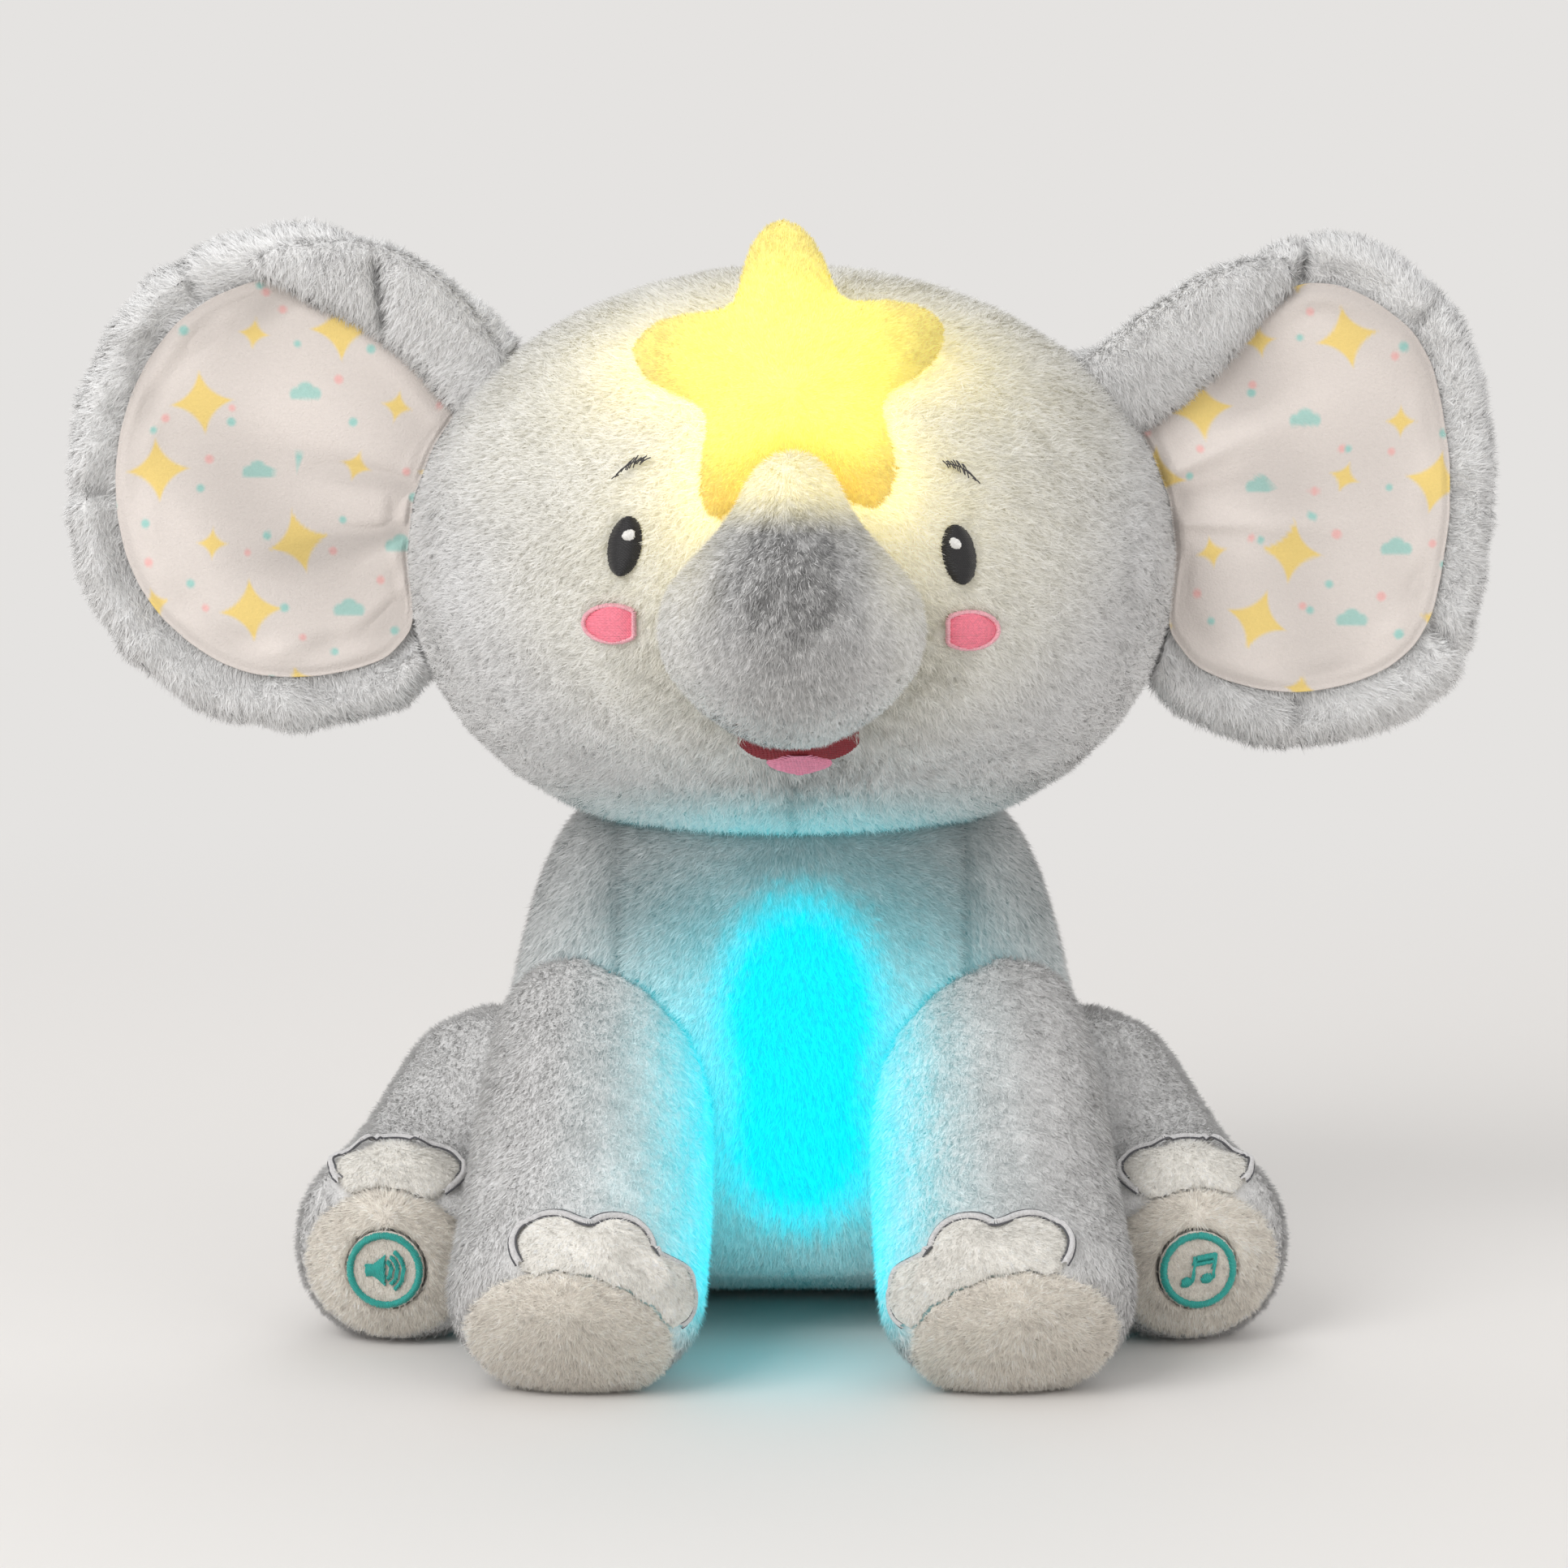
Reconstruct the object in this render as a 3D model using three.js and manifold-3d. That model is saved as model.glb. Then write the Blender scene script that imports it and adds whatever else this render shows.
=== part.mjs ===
// A seated plush elephant night light: stuffed forms, sewn-on pieces, a lamp in the star and a
// sound-and-light module behind the belly. Millimetres, X across, Y to the back, Z up.
// The origin is on the surface that it sits on, under the middle of the head.
import * as THREE from 'three';
import { mergeVertices } from 'three/addons/utils/BufferGeometryUtils.js';
import Module from 'manifold-3d';

const wasm = await Module();
wasm.setup();
const { Vector3 } = THREE;

// Gaps and helpers' sizes
const seamGap = 0.35; // between sewn or stuffed neighbours
const fitGap = 0.3; // between moulded neighbours
const cutOverrun = 8; // how far a cutter runs past what it cuts
const weldDistance = 0.001;
const standFlat = 0.5; // how much of each stuffed form the surface flattens

// Head
const headWidth = 186;
const headHeight = 139;
const headDepth = 134;
const chinGap = 7; // from the module's top up to the chin
const headPower = 2.25; // below the middle
const crownPower = 2.03; // above it
const headPlanPower = 2.15;
const headSides = 28;
const headRings = 16;

// Body
const bodyWidth = 146;
const bodyDepth = 122;
const bodyBack = 84.5;
const neckSink = 18; // how far the body's top runs up into the head
const bodySides = 26;
const bodyRings = 14;
const bodyPower = 2.3;
// Height, half width, and front and back measured from the back of the body
const bodyShares = [
  [0, 0.46, 0.75, 0.19],
  [0.018, 0.63, 0.8, 0.1],
  [0.055, 0.8, 0.86, 0.04],
  [0.12, 0.92, 0.925, 0.01],
  [0.21, 0.985, 0.975, 0],
  [0.33, 1, 1, 0],
  [0.47, 0.985, 1, 0.035],
  [0.61, 0.945, 0.985, 0.09],
  [0.73, 0.885, 0.965, 0.135],
  [0.83, 0.82, 0.945, 0.17],
  [0.91, 0.72, 0.9, 0.21],
  [0.97, 0.56, 0.82, 0.28],
  [1, 0.3, 0.7, 0.4],
];

// Belly panel: the sewn bib that the light shines through
const panelThickness = 1.4;
const panelHalfWidth = 42;
const panelWaist = 29;
const panelTop = 124;
const panelStep = 92; // where the bib widens over the front legs
const panelBottom = 14;

// Trunk: rings from its lower end up to the tip
const trunkWidth = 61;
const trunkHeight = 68;
const trunkReach = 39; // in front of the face
const trunkSink = 18; // into the head before it is cut
const trunkRiseShare = 0.2122; // of its lower end above the chin, of the head's height
const trunkSides = 18;
const trunkRings = 11;
const trunkPower = 2;
const trunkShares = [
  [0, 0.22, 0.3, -0.4],
  [0.05, 0.46, 0.55, -0.8],
  [0.13, 0.7, 0.77, -1],
  [0.25, 0.92, 0.93, -1],
  [0.38, 1, 1, -1],
  [0.5, 0.95, 1, -1],
  [0.62, 0.79, 0.96, -1],
  [0.73, 0.62, 0.88, -0.9],
  [0.82, 0.5, 0.8, -0.35],
  [0.9, 0.4, 0.71, 0.06],
  [0.96, 0.29, 0.63, 0.18],
  [1, 0.13, 0.52, 0.3],
];

// Star: a puffy cover on the forehead, with a lamp behind it
const starRadius = 38;
const starThickness = 17;
const starDrop = 26.5; // of its middle under the head's top
const starTilt = THREE.MathUtils.degToRad(17);
const starTurn = THREE.MathUtils.degToRad(3.7);
const starBend = 7; // how far the side points fall back
const starPoints = 5;
// From a tip to the notch beside it: share of the half angle, share of the radius
const starTipShares = [[0, 1], [0.165, 0.956], [0.31, 0.89], [0.487, 0.77], [0.66, 0.66], [0.84, 0.595], [1, 0.58]];
const starLowShare = 1.11; // how much longer the two lower arms reach
const starLift = 1.5; // of the star's middle plane off the head
const lampRadius = 12;
const lampDepth = 8;
const lampWall = 1.2;
const lampDomeHeight = 6;
const lampBoardThickness = 1.2;
const lampLedRadius = 2.5;
const lampLedHeight = 2.4;
const lampSink = 2.5; // of the lamp's rim below the star's middle plane

// Sewn face
const stitchThickness = 1.1;
const eyeSpacing = 77;
const eyeWidth = 7.4;
const eyeHeight = 13.6;
const eyeRiseShare = 0.525; // of the head's height above the chin
const eyeLean = THREE.MathUtils.degToRad(8);
const browWidth = 8.6;
const browHeight = 2.6;
const browRiseShare = 0.658;
const browSpacing = 77;
const browLean = THREE.MathUtils.degToRad(24);
const browArch = 1.2;
const cheekWidth = 12.8;
const cheekHeight = 8.8;
const cheekRiseShare = 0.399;
const cheekSpacing = 84;
const mouthWidth = 29;
const mouthHeight = 8.5;
const mouthRiseShare = 0.2086;
const tongueWidth = 17;
const tongueHeight = 5;
const tongueDrop = 4.6; // of the tongue's middle below the mouth's
const mouthMiddle = 1.5;

// Ears
const earWidth = 111;
const earHeight = 124;
const earMiddle = 25; // of the ear's middle outside the widest part of the head
const earRiseShare = 0.64; // of the ear's middle above the chin, of the head's height
const earRim = 14; // thickness of the rolled plush rim
const earBelly = 9; // thickness where the lining lies
const earSteps = 28;
const earRange = THREE.MathUtils.degToRad(15);
const earHingeTopShare = 0.856; // above the chin, of the head's height
const earHingeTopIn = 23; // inside the widest part of the head
const earHingeLowShare = 0.259;
const earHingeLowIn = 1;
const liningThickness = 1.6;
const liningShare = 0.8;
// Across and up from the ear's middle, as shares of its width and height; across is outwards
const earLeftShares = [
  [-0.47, 0.27], [-0.33, 0.37], [-0.2, 0.445], [0, 0.497], [0.172, 0.474], [0.334, 0.398],
  [0.45, 0.27], [0.515, 0.12], [0.534, -0.03], [0.51, -0.19], [0.44, -0.32], [0.32, -0.425],
  [0.19, -0.487], [0.04, -0.502], [-0.11, -0.485], [-0.245, -0.437], [-0.36, -0.25], [-0.46, 0.05],
];
const earRightShares = [
  [-0.46, 0.24], [-0.34, 0.25], [-0.215, 0.31], [-0.075, 0.42], [0.1, 0.482], [0.243, 0.446],
  [0.4, 0.335], [0.455, 0.19], [0.488, -0.023], [0.465, -0.24], [0.42, -0.392], [0.31, -0.485],
  [0.165, -0.528], [0.045, -0.54], [-0.115, -0.515], [-0.245, -0.455], [-0.36, -0.25], [-0.46, 0.03],
];

// Front legs, from the shoulder to the foot
const frontFootSpacing = 102;
const frontFootWidth = 59;
const frontFootHeight = 45;
const frontLegReach = 56; // of the foot's middle in front of the body
const frontFootRise = 22;
const shoulderSpacing = 88;
const shoulderHeight = 92;
const shoulderBack = 36; // of the leg's start behind the body's front
const frontLegShares = [[0, 0, 0], [0.42, 0.37, 0.38], [0.62, 0.67, 0.7], [1, 1, 1]];
const frontWidthShares = [0.86, 0.92, 0.97, 1];
const frontHeightShares = [0.88, 1.06, 1.1, 1];
const frontCap = 15;
const shoulderCap = 18;

// Hind legs, from the hip to the foot
const hindFootSpacing = 194;
const hindFootWidth = 51;
const hindFootHeight = 47;
const hindFootRise = 19;
const hindSoleForward = 3.5; // of the sole in front of the body
const hipSpacing = 120;
const hipHeight = 43;
const hipBack = 90; // of the hip's middle behind the body's front
const hindLegShares = [[0, 0, 0], [0.45, 0.33, 0.5], [0.87, 0.68, 0.93], [1, 1, 1]];
const hindWidthShares = [1.36, 1.09, 0.94, 1];
const hindHeightShares = [1.75, 1.47, 1.06, 1.02];
const hindCap = 13;
const hipCap = 30;

const limbSides = 18;
const limbRings = 7;
const capRings = 3;
const limbPower = 2.15;
const capPower = 2.3;
const soleThickness = 1.5;
// Of each sole across and up, against its foot
const frontSoleShares = [0.82, 0.89];
const hindSoleShares = [0.83, 0.76];
const frontSoleDrop = 0.9; // of the sole's middle below the foot's
const hindSoleDrop = 2.2;
const frontSoleLean = THREE.MathUtils.degToRad(8); // down towards the other foot
const soleSteps = 18;
const toeThickness = 1.3;
const frontToeWidth = 60;
const hindToeWidth = 36;
// Middle across and back, and radius, of each round lobe, as shares of the patch's half width.
// The lobes run on under the sole, and are cut along its edge
const frontToeLobeShares = [
  [-0.43, 0.01, 0.28], [0.08, 0.04, 0.285], [0.7, -0.06, 0.22], [0.93, -0.13, 0.18],
  [-0.17, -0.08, 0.2], [0.42, -0.1, 0.21],
];
const hindToeLobeShares = [
  [-0.6, 0.03, 0.38], [0.05, 0.12, 0.36], [0.63, -0.02, 0.25], [-0.25, -0.06, 0.3], [0.36, -0.06, 0.25],
];
const toeFineSteps = 240;
const toeSteps = 42;
const toeSetback = 4; // of the patch's middle behind the sole's edge
const frontToeShift = 10; // of the patch's middle from the top of the foot towards the other foot
const hindToeShift = 0.5;

// Tail
const tailLength = 28;
const tailRadius = 6.6;
const tailTuftRadius = 8.4;
const tailRise = 30;
const tailDrop = 26;
const tailRange = THREE.MathUtils.degToRad(25);

// Sound-and-light module
const bellyStuffing = 11.5; // between the belly's plush and the diffuser
const moduleBottom = 24;
const moduleCorner = 8;
const caseDepth = 38;
const caseWall = 2.6;
const caseFrontDepth = 19.5; // of the space behind the circuit board
const domeWidth = 42;
const domeInset = 4; // of the dome's ends from the module's
const domeDepth = 26;
const domeWall = 1.8;
const flangeThickness = 2;
const boardThickness = 1.6;
const chipWidth = 14;
const chipHeight = 10;
const chipThickness = 2;
const chipRise = 20; // of the chip's middle below the board's middle
const ledRadius = 2.5;
const ledLength = 7;
const ledSpacing = 42;

// Cells and their bay
const cellRadius = 7.2;
const cellLength = 49.3;
const cellPipRadius = 2.7;
const cellPipLength = 1.2;
const cellPitch = 15.1;
const cellCount = 3;
const springLength = 4;
const springRadius = 3.6;
const springTipRadius = 2.2;
const springWire = 0.45;
const springTurns = 3;
const springTurnSteps = 6;
const plateThickness = 0.6;
const plateDepth = 12;
const bayDepth = 16;
const bayFloor = 3.4; // case wall under the bay
const baySideWall = 3.55;
const doorThickness = 2;
const doorMargin = 2.2;
const doorCorner = 5.4;
const doorEar = 7; // above the bay, for the screw
const doorScrewAcross = 16;
const screwHeadRadius = 3;
const screwHeadHeight = 1.6;
const screwRadius = 1.3;
const screwLength = 9;
const screwSlotWidth = 0.9;
const screwSlotDepth = 0.8;

// Speaker and switch
const speakerRadius = 14.5;
const speakerDepth = 12;
const speakerFrame = 2;
const speakerMagnetRadius = 8;
const speakerMagnetDepth = 5;
const speakerAcross = 6;
const speakerGap = 6.2; // between the bay and the speaker
const speakerMargin = 3.5; // over the speaker
const speakerWall = 2.4;
const grilleHoleRadius = 1.6;
const grilleRing = 8;
const grilleHoles = 6;
const switchAcross = 24;
const switchWidth = 5.4;
const switchLength = 7.4;
const switchDepth = 3;
const switchTravel = 6;
const switchKnobWidth = 3;
const switchKnobHeight = 2.6;

// Pocket in the back and its flap
const pocketBack = 12; // room behind the module
const tunnelInset = 2; // of its sides from the module's
const tunnelRise = 14; // of its bottom above the module's
const tunnelDrop = 4; // of its top under the module's
const flapMargin = 5;
const flapThickness = 4;
const fastenerThickness = 1;
const fastenerWidth = 52;

// Foot buttons
const buttonDrop = 3; // of the button's middle below the foot's middle
const patchRadius = 9.6;
const patchThickness = 1.2;
const capGap = 0.4; // round the button in its housing
const capDepth = 4.6;
const housingRadius = 11;
const housingDepth = 9;
const housingWall = 1.4;
const housingSink = 2.6; // of its rim under the sole's surface
const pressTravel = 1.5;
const postRadius = 2.5;

// Leads held in the stuffing
const leadRadius = 1.1;
const leadGap = 0.35;
const leadSides = 8;
const leadSteps = 12;
const leadStraight = 8; // at each end of a lead
// Turning points across, back and up
const starLeadPoints = [[0, -12, 190], [0, 6, 150], [0, 14, 126]];
const footLeadPoints = [[62, 30, 33], [84, 20, 30]];
const leadExitBack = 22;
const leadExitRise = 34;

// Places worked out from the sizes
const bayHeight = cellPitch * cellCount + 2 * fitGap;
const bayLength = cellLength + cellPipLength + springLength + 2 * (plateThickness + 2 * fitGap);
const moduleWidth = bayLength + 2 * baySideWall;
const speakerRise = bayFloor + bayHeight + speakerGap + speakerRadius;
const switchRise = speakerRise;
const moduleHeight = speakerRise + speakerRadius + speakerMargin;
const domeHeight = moduleHeight - 2 * domeInset;
const tunnelWidth = moduleWidth - 2 * tunnelInset;
const tunnelBottom = moduleBottom + tunnelRise;
const tunnelTop = moduleBottom + moduleHeight - tunnelDrop;
const chinHeight = moduleBottom + moduleHeight + chinGap;
const bodyFront = bodyBack - bodyDepth;
const bodyHeight = chinHeight + neckSink;
const headMiddle = chinHeight + headHeight / 2;
const domeFront = bodyFront + bellyStuffing;
const flangeFront = domeFront + domeDepth;
const caseFront = flangeFront + flangeThickness + fitGap;
const caseBack = caseFront + caseDepth;
const moduleMiddle = moduleBottom + moduleHeight / 2;
const cavityBack = caseFront + caseFrontDepth;
const bayFront = caseBack - bayDepth;
const bayBottom = moduleBottom + bayFloor;
const [trunkRise, eyeRise, browRise, cheekRise, mouthRise, earRise, earHingeTop, earHingeLow] = [
  trunkRiseShare, eyeRiseShare, browRiseShare, cheekRiseShare, mouthRiseShare, earRiseShare, earHingeTopShare,
  earHingeLowShare,
].map((share) => share * headHeight);
const starRise = headHeight - starDrop;

// Materials
const material = (color, roughness = 0.9, metalness = 0) =>
  new THREE.MeshStandardMaterial({ color, roughness, metalness });
const plush = material(0xaaabac);
const palePlush = material(0xbab4ac);
const solePlush = material(0xaca59b);
const liningCloth = material(0xd6d0cb);
const starCloth = material(0xf2e650);
const blackThread = material(0x141314, 0.5);
const pinkThread = material(0xe07a98, 0.5);
const redThread = material(0x7c1f2c, 0.5);
const tealThread = material(0x3fa79b, 0.5);
const fastenerTape = material(0x9a9a9a);
const whitePlastic = material(0xe9e9e6, 0.45);
const frostedPlastic = material(0xd5f1f7, 0.35);
const greenBoard = material(0x2f6b46, 0.5);
const cellWrap = material(0x3d4a57, 0.4);
const springSteel = material(0xb9bcc0, 0.3, 1);
const speakerBlack = material(0x2a2a2c, 0.6);
const leadSheath = material(0xd8d8d8, 0.6);

// Solids and skins
function solidFrom(geometry) {
  const plain = geometry.clone();
  plain.deleteAttribute('normal');
  plain.deleteAttribute('uv');
  const merged = mergeVertices(plain, weldDistance);
  return new wasm.Manifold(new wasm.Mesh({
    numProp: 3,
    vertProperties: new Float32Array(merged.attributes.position.array),
    triVerts: new Uint32Array(merged.index.array),
  }));
}

function geometryFrom(solid) {
  const mesh = solid.getMesh();
  const geometry = new THREE.BufferGeometry();
  geometry.setAttribute('position', new THREE.BufferAttribute(mesh.vertProperties, 3));
  geometry.setIndex(new THREE.BufferAttribute(mesh.triVerts, 1));
  geometry.computeVertexNormals();
  return geometry;
}

// Closed skin over rings with equal counts, drawn to a point at each end
function skin(start, rings, end) {
  const count = rings[0].length;
  const points = [start, ...rings.flat(), end];
  const faces = [];
  rings.forEach((ring, r) => {
    for (let i = 0; i < count; i++) {
      const a = 1 + r * count + i;
      const b = 1 + r * count + ((i + 1) % count);
      if (r === 0) faces.push(0, b, a);
      if (r === rings.length - 1) faces.push(a, b, points.length - 1);
      else faces.push(a, b, b + count, a, b + count, a + count);
    }
  });
  let volume = 0;
  for (let f = 0; f < faces.length; f += 3) {
    const [a, b, c] = [points[faces[f]], points[faces[f + 1]], points[faces[f + 2]]];
    volume += a.dot(b.clone().cross(c));
  }
  if (volume < 0) faces.reverse();
  const geometry = new THREE.BufferGeometry().setFromPoints(points);
  geometry.setIndex(faces);
  return solidFrom(geometry);
}

const bulge = (value, power) => Math.sign(value) * Math.abs(value) ** (2 / power);

function roundedRing(sides, power, place) {
  return Array.from({ length: sides }, (_, i) => {
    const angle = (2 * Math.PI * i) / sides;
    return place(bulge(Math.cos(angle), power), bulge(Math.sin(angle), power));
  });
}

// Numbers read smoothly from a row of stations, with t from 0 to 1
function smoothly(stations, t) {
  const curve = new THREE.CatmullRomCurve3(stations.map((s) => new Vector3(...s)), false, 'catmullrom', 0.5);
  return curve.getPoint(Math.min(1, Math.max(0, t)));
}

// Prism along Y of a shape drawn in X and Z
function prismY(shape, front, back) {
  const geometry = new THREE.ExtrudeGeometry(shape, { depth: back - front, bevelEnabled: false, curveSegments: 2 });
  return solidFrom(geometry.rotateX(Math.PI / 2).translate(0, back, 0));
}

function roundedShape(left, right, low, high, radius) {
  const shape = new THREE.Shape();
  shape.absarc(right - radius, high - radius, radius, 0, Math.PI / 2, false);
  shape.absarc(left + radius, high - radius, radius, Math.PI / 2, Math.PI, false);
  shape.absarc(left + radius, low + radius, radius, Math.PI, 1.5 * Math.PI, false);
  shape.absarc(right - radius, low + radius, radius, 1.5 * Math.PI, 2 * Math.PI, false);
  return shape;
}

function block(left, right, front, back, low, high) {
  const geometry = new THREE.BoxGeometry(right - left, back - front, high - low);
  return solidFrom(geometry.translate((left + right) / 2, (front + back) / 2, (low + high) / 2));
}

// Turned piece about its own Z, from radius and height pairs that start and end on the axis
function turned(profile, sides = 16) {
  const points = profile.map(([radius, height]) => new THREE.Vector2(radius, height));
  return solidFrom(new THREE.LatheGeometry(points, sides).rotateX(Math.PI / 2));
}

const cylinder = (radius, from, to, sides = 16) =>
  turned([[0, from], [radius, from], [radius, to], [0, to]], sides);

// Moves a solid made about Z so that Z points along a direction from a place
function placed(solid, place, direction) {
  const turn = new THREE.Quaternion().setFromUnitVectors(new Vector3(0, 0, 1), direction.clone().normalize());
  const matrix = new THREE.Matrix4().compose(place, turn, new Vector3(1, 1, 1));
  return solid.transform(matrix.elements);
}

// Sewn pad: rings of an outline at shares of its size, each lifted off its base surface
function pad(outline, profile, toPoint) {
  const ring = ([share, lift]) => outline.map(([u, v]) => toPoint(u * share, v * share, lift));
  const inner = profile.slice(1, -1);
  return skin(toPoint(0, 0, profile[0][1]), inner.map(ring), toPoint(0, 0, profile.at(-1)[1]));
}

const ellipse = (width, height, steps, lean = 0) => Array.from({ length: steps }, (_, i) => {
  const angle = (2 * Math.PI * i) / steps;
  const [u, v] = [(width / 2) * Math.cos(angle), (height / 2) * Math.sin(angle)];
  return [u * Math.cos(lean) - v * Math.sin(lean), u * Math.sin(lean) + v * Math.cos(lean)];
});

// Head
function headForm(grow = 0) {
  const rings = [];
  for (let r = 1; r < headRings; r++) {
    const angle = Math.PI * (r / headRings - 0.5);
    const power = angle > 0 ? crownPower : headPower;
    const across = bulge(Math.cos(angle), power);
    const z = headMiddle + (headHeight / 2 + grow) * bulge(Math.sin(angle), power);
    rings.push(roundedRing(headSides, headPlanPower, (c, s) =>
      new Vector3((headWidth / 2 + grow) * across * c, (headDepth / 2 + grow) * across * s, z)));
  }
  const reach = headHeight / 2 + grow;
  return skin(new Vector3(0, 0, headMiddle - reach), rings, new Vector3(0, 0, headMiddle + reach));
}

// The face's Y at a place across and up
function faceAt(x, z, grow = 0) {
  const up = Math.min(1, Math.abs(z - headMiddle) / (headHeight / 2 + grow));
  const power = z > headMiddle ? crownPower : headPower;
  const across = (1 - up ** power) ** (1 / power);
  const side = Math.min(1, Math.abs(x) / ((headWidth / 2 + grow) * across));
  return -(headDepth / 2 + grow) * across * (1 - side ** headPlanPower) ** (1 / headPlanPower);
}

// A form of stacked rings; a row is height, half width, front and back
function stackForm(rows, sides, power) {
  const rings = rows.map(([z, half, front, back]) => roundedRing(sides, power, (c, s) =>
    new Vector3(half * c, (front + back) / 2 + ((back - front) / 2) * s, z)));
  const end = ([z, , front, back]) => new Vector3(0, (front + back) / 2, z);
  return skin(end(rows[0]), rings, end(rows.at(-1)));
}

function bodyRow(t, grow = 0) {
  const shape = smoothly(bodyShares.map((row) => row.slice(1)), t);
  const up = smoothly(bodyShares.map((row) => [row[0], 0, 0]), t).x;
  return [
    bodyHeight * up - standFlat + grow * (2 * up - 1),
    (bodyWidth / 2) * shape.x + grow,
    bodyBack - bodyDepth * shape.y - grow,
    bodyBack - bodyDepth * shape.z + grow,
  ];
}

function bodyForm(grow = 0) {
  const rows = Array.from({ length: bodyRings + 1 }, (_, r) => bodyRow(r / bodyRings, grow));
  return stackForm(rows, bodySides, bodyPower);
}

function bodyRowAt(height) {
  let best = bodyRow(0);
  for (let t = 0; t <= 1; t += 1 / (bodyRings * bodySides)) {
    const row = bodyRow(t);
    if (Math.abs(row[0] - height) < Math.abs(best[0] - height)) best = row;
  }
  return best;
}

// Trunk: its front and back are shares of its reach and of how deep it starts in the head
function trunkForm(grow = 0) {
  const face = -headDepth / 2;
  const rows = Array.from({ length: trunkRings + 1 }, (_, r) => {
    const t = r / trunkRings;
    const shape = smoothly(trunkShares.map((row) => row.slice(1)), t);
    const up = smoothly(trunkShares.map((row) => [row[0], 0, 0]), t).x;
    const back = shape.z < 0 ? face - trunkSink * shape.z : face - trunkReach * shape.z;
    return [
      chinHeight + trunkRise + trunkHeight * up + grow * (2 * up - 1),
      (trunkWidth / 2) * shape.x + grow,
      face - trunkReach * shape.y - grow,
      back + grow,
    ];
  });
  return stackForm(rows, trunkSides, trunkPower);
}

// Limbs: rounded rings along a bent middle line, with a rounded end
function limb({ start, end, pathShares, width, height, widthShares, heightShares, cap, startCap, sole }) {
  const points = pathShares.map(([x, y, z]) => new Vector3(
    start.x + (end.x - start.x) * x,
    start.y + (end.y - start.y) * y,
    start.z + (end.z - start.z) * z,
  ));
  const path = new THREE.CatmullRomCurve3(points, false, 'centripetal');
  const length = path.getLength();
  const up = new Vector3(0, 0, 1);
  const form = { length, sole, settle: 0 };
  // The rounded ends are straight and keep their section
  const inner = (along) => Math.min(length - cap, Math.max(startCap, along));
  const roundedBy = (along, reach) => (1 - (1 - Math.min(1, along / reach)) ** capPower) ** (1 / capPower);
  form.frameAt = (along) => {
    const stop = inner(along);
    const forward = path.getTangentAt(stop / length);
    const side = forward.clone().cross(up).normalize();
    const middle = path.getPointAt(stop / length).addScaledVector(forward, along - stop);
    middle.z += form.settle;
    return { middle, forward, side, top: side.clone().cross(forward) };
  };
  form.sizeAt = (along) => {
    const t = inner(along) / length;
    return [
      (width / 2) * smoothly(widthShares.map((share) => [share, 0, 0]), t).x,
      (height / 2) * smoothly(heightShares.map((share) => [share, 0, 0]), t).x,
    ];
  };
  form.pointAt = (along, c, s, lift) => {
    const { middle, side, top } = form.frameAt(along);
    const [half, tall] = form.sizeAt(along);
    const round = Math.min(
      roundedBy(Math.max(0, along + lift), startCap + lift),
      roundedBy(Math.max(0, length - along + lift), cap + lift),
    );
    return middle.addScaledVector(side, (half + lift) * c * round).addScaledVector(top, (tall + lift) * s * round);
  };
  form.solid = (grow = 0) => {
    const capStops = (reach) => Array.from({ length: capRings }, (_, k) =>
      (reach + grow) * (1 - Math.cos(((k + 1) / capRings) * (Math.PI / 2))) - grow);
    const straight = length - cap - startCap;
    const stops = capStops(startCap);
    for (let k = 1; k < limbRings; k++) stops.push(startCap + (straight * k) / limbRings);
    stops.push(...capStops(cap).map((along) => length - along).reverse());
    const rings = stops.map((along) =>
      roundedRing(limbSides, limbPower, (c, s) => form.pointAt(along, c, s, grow)));
    return skin(form.frameAt(-grow).middle, rings, form.frameAt(length + grow).middle);
  };
  form.settle = -standFlat - form.solid().boundingBox().min[2];
  // The sole's surface, at a place across and up from the foot's middle
  form.soleAt = (u, v, lift) => {
    const { middle, forward, side, top } = form.frameAt(length);
    const [half, tall] = form.sizeAt(length);
    const out = (Math.abs(u / (half + lift)) ** limbPower + Math.abs(v / (tall + lift)) ** limbPower) ** (1 / limbPower);
    const fall = (cap + lift) * (1 - Math.max(0, 1 - Math.min(1, out) ** capPower) ** (1 / capPower));
    return middle.addScaledVector(forward, lift - fall).addScaledVector(side, u).addScaledVector(top, v);
  };
  // How far the rounded end falls back at a share of the foot's height
  form.edgeAt = (share) => cap * (1 - (1 - share ** capPower) ** (1 / capPower));
  // The limb's upper surface, at a place round from the top and back from the end
  form.topAt = (u, v, lift) => {
    const [half] = form.sizeAt(length);
    const angle = Math.PI / 2 + u / half;
    return form.pointAt(length - v, bulge(Math.cos(angle), limbPower), bulge(Math.sin(angle), limbPower), lift);
  };
  return form;
}

const sides = [['left', -1], ['right', 1]];

function frontLeg(sign) {
  return limb({
    start: new Vector3((sign * shoulderSpacing) / 2, bodyFront + shoulderBack, shoulderHeight),
    end: new Vector3((sign * frontFootSpacing) / 2, bodyFront - frontLegReach, frontFootRise),
    pathShares: frontLegShares,
    width: frontFootWidth,
    height: frontFootHeight,
    widthShares: frontWidthShares,
    heightShares: frontHeightShares,
    cap: frontCap,
    startCap: shoulderCap,
    sole: { shares: frontSoleShares, drop: frontSoleDrop, lean: -sign * frontSoleLean },
  });
}

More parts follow.
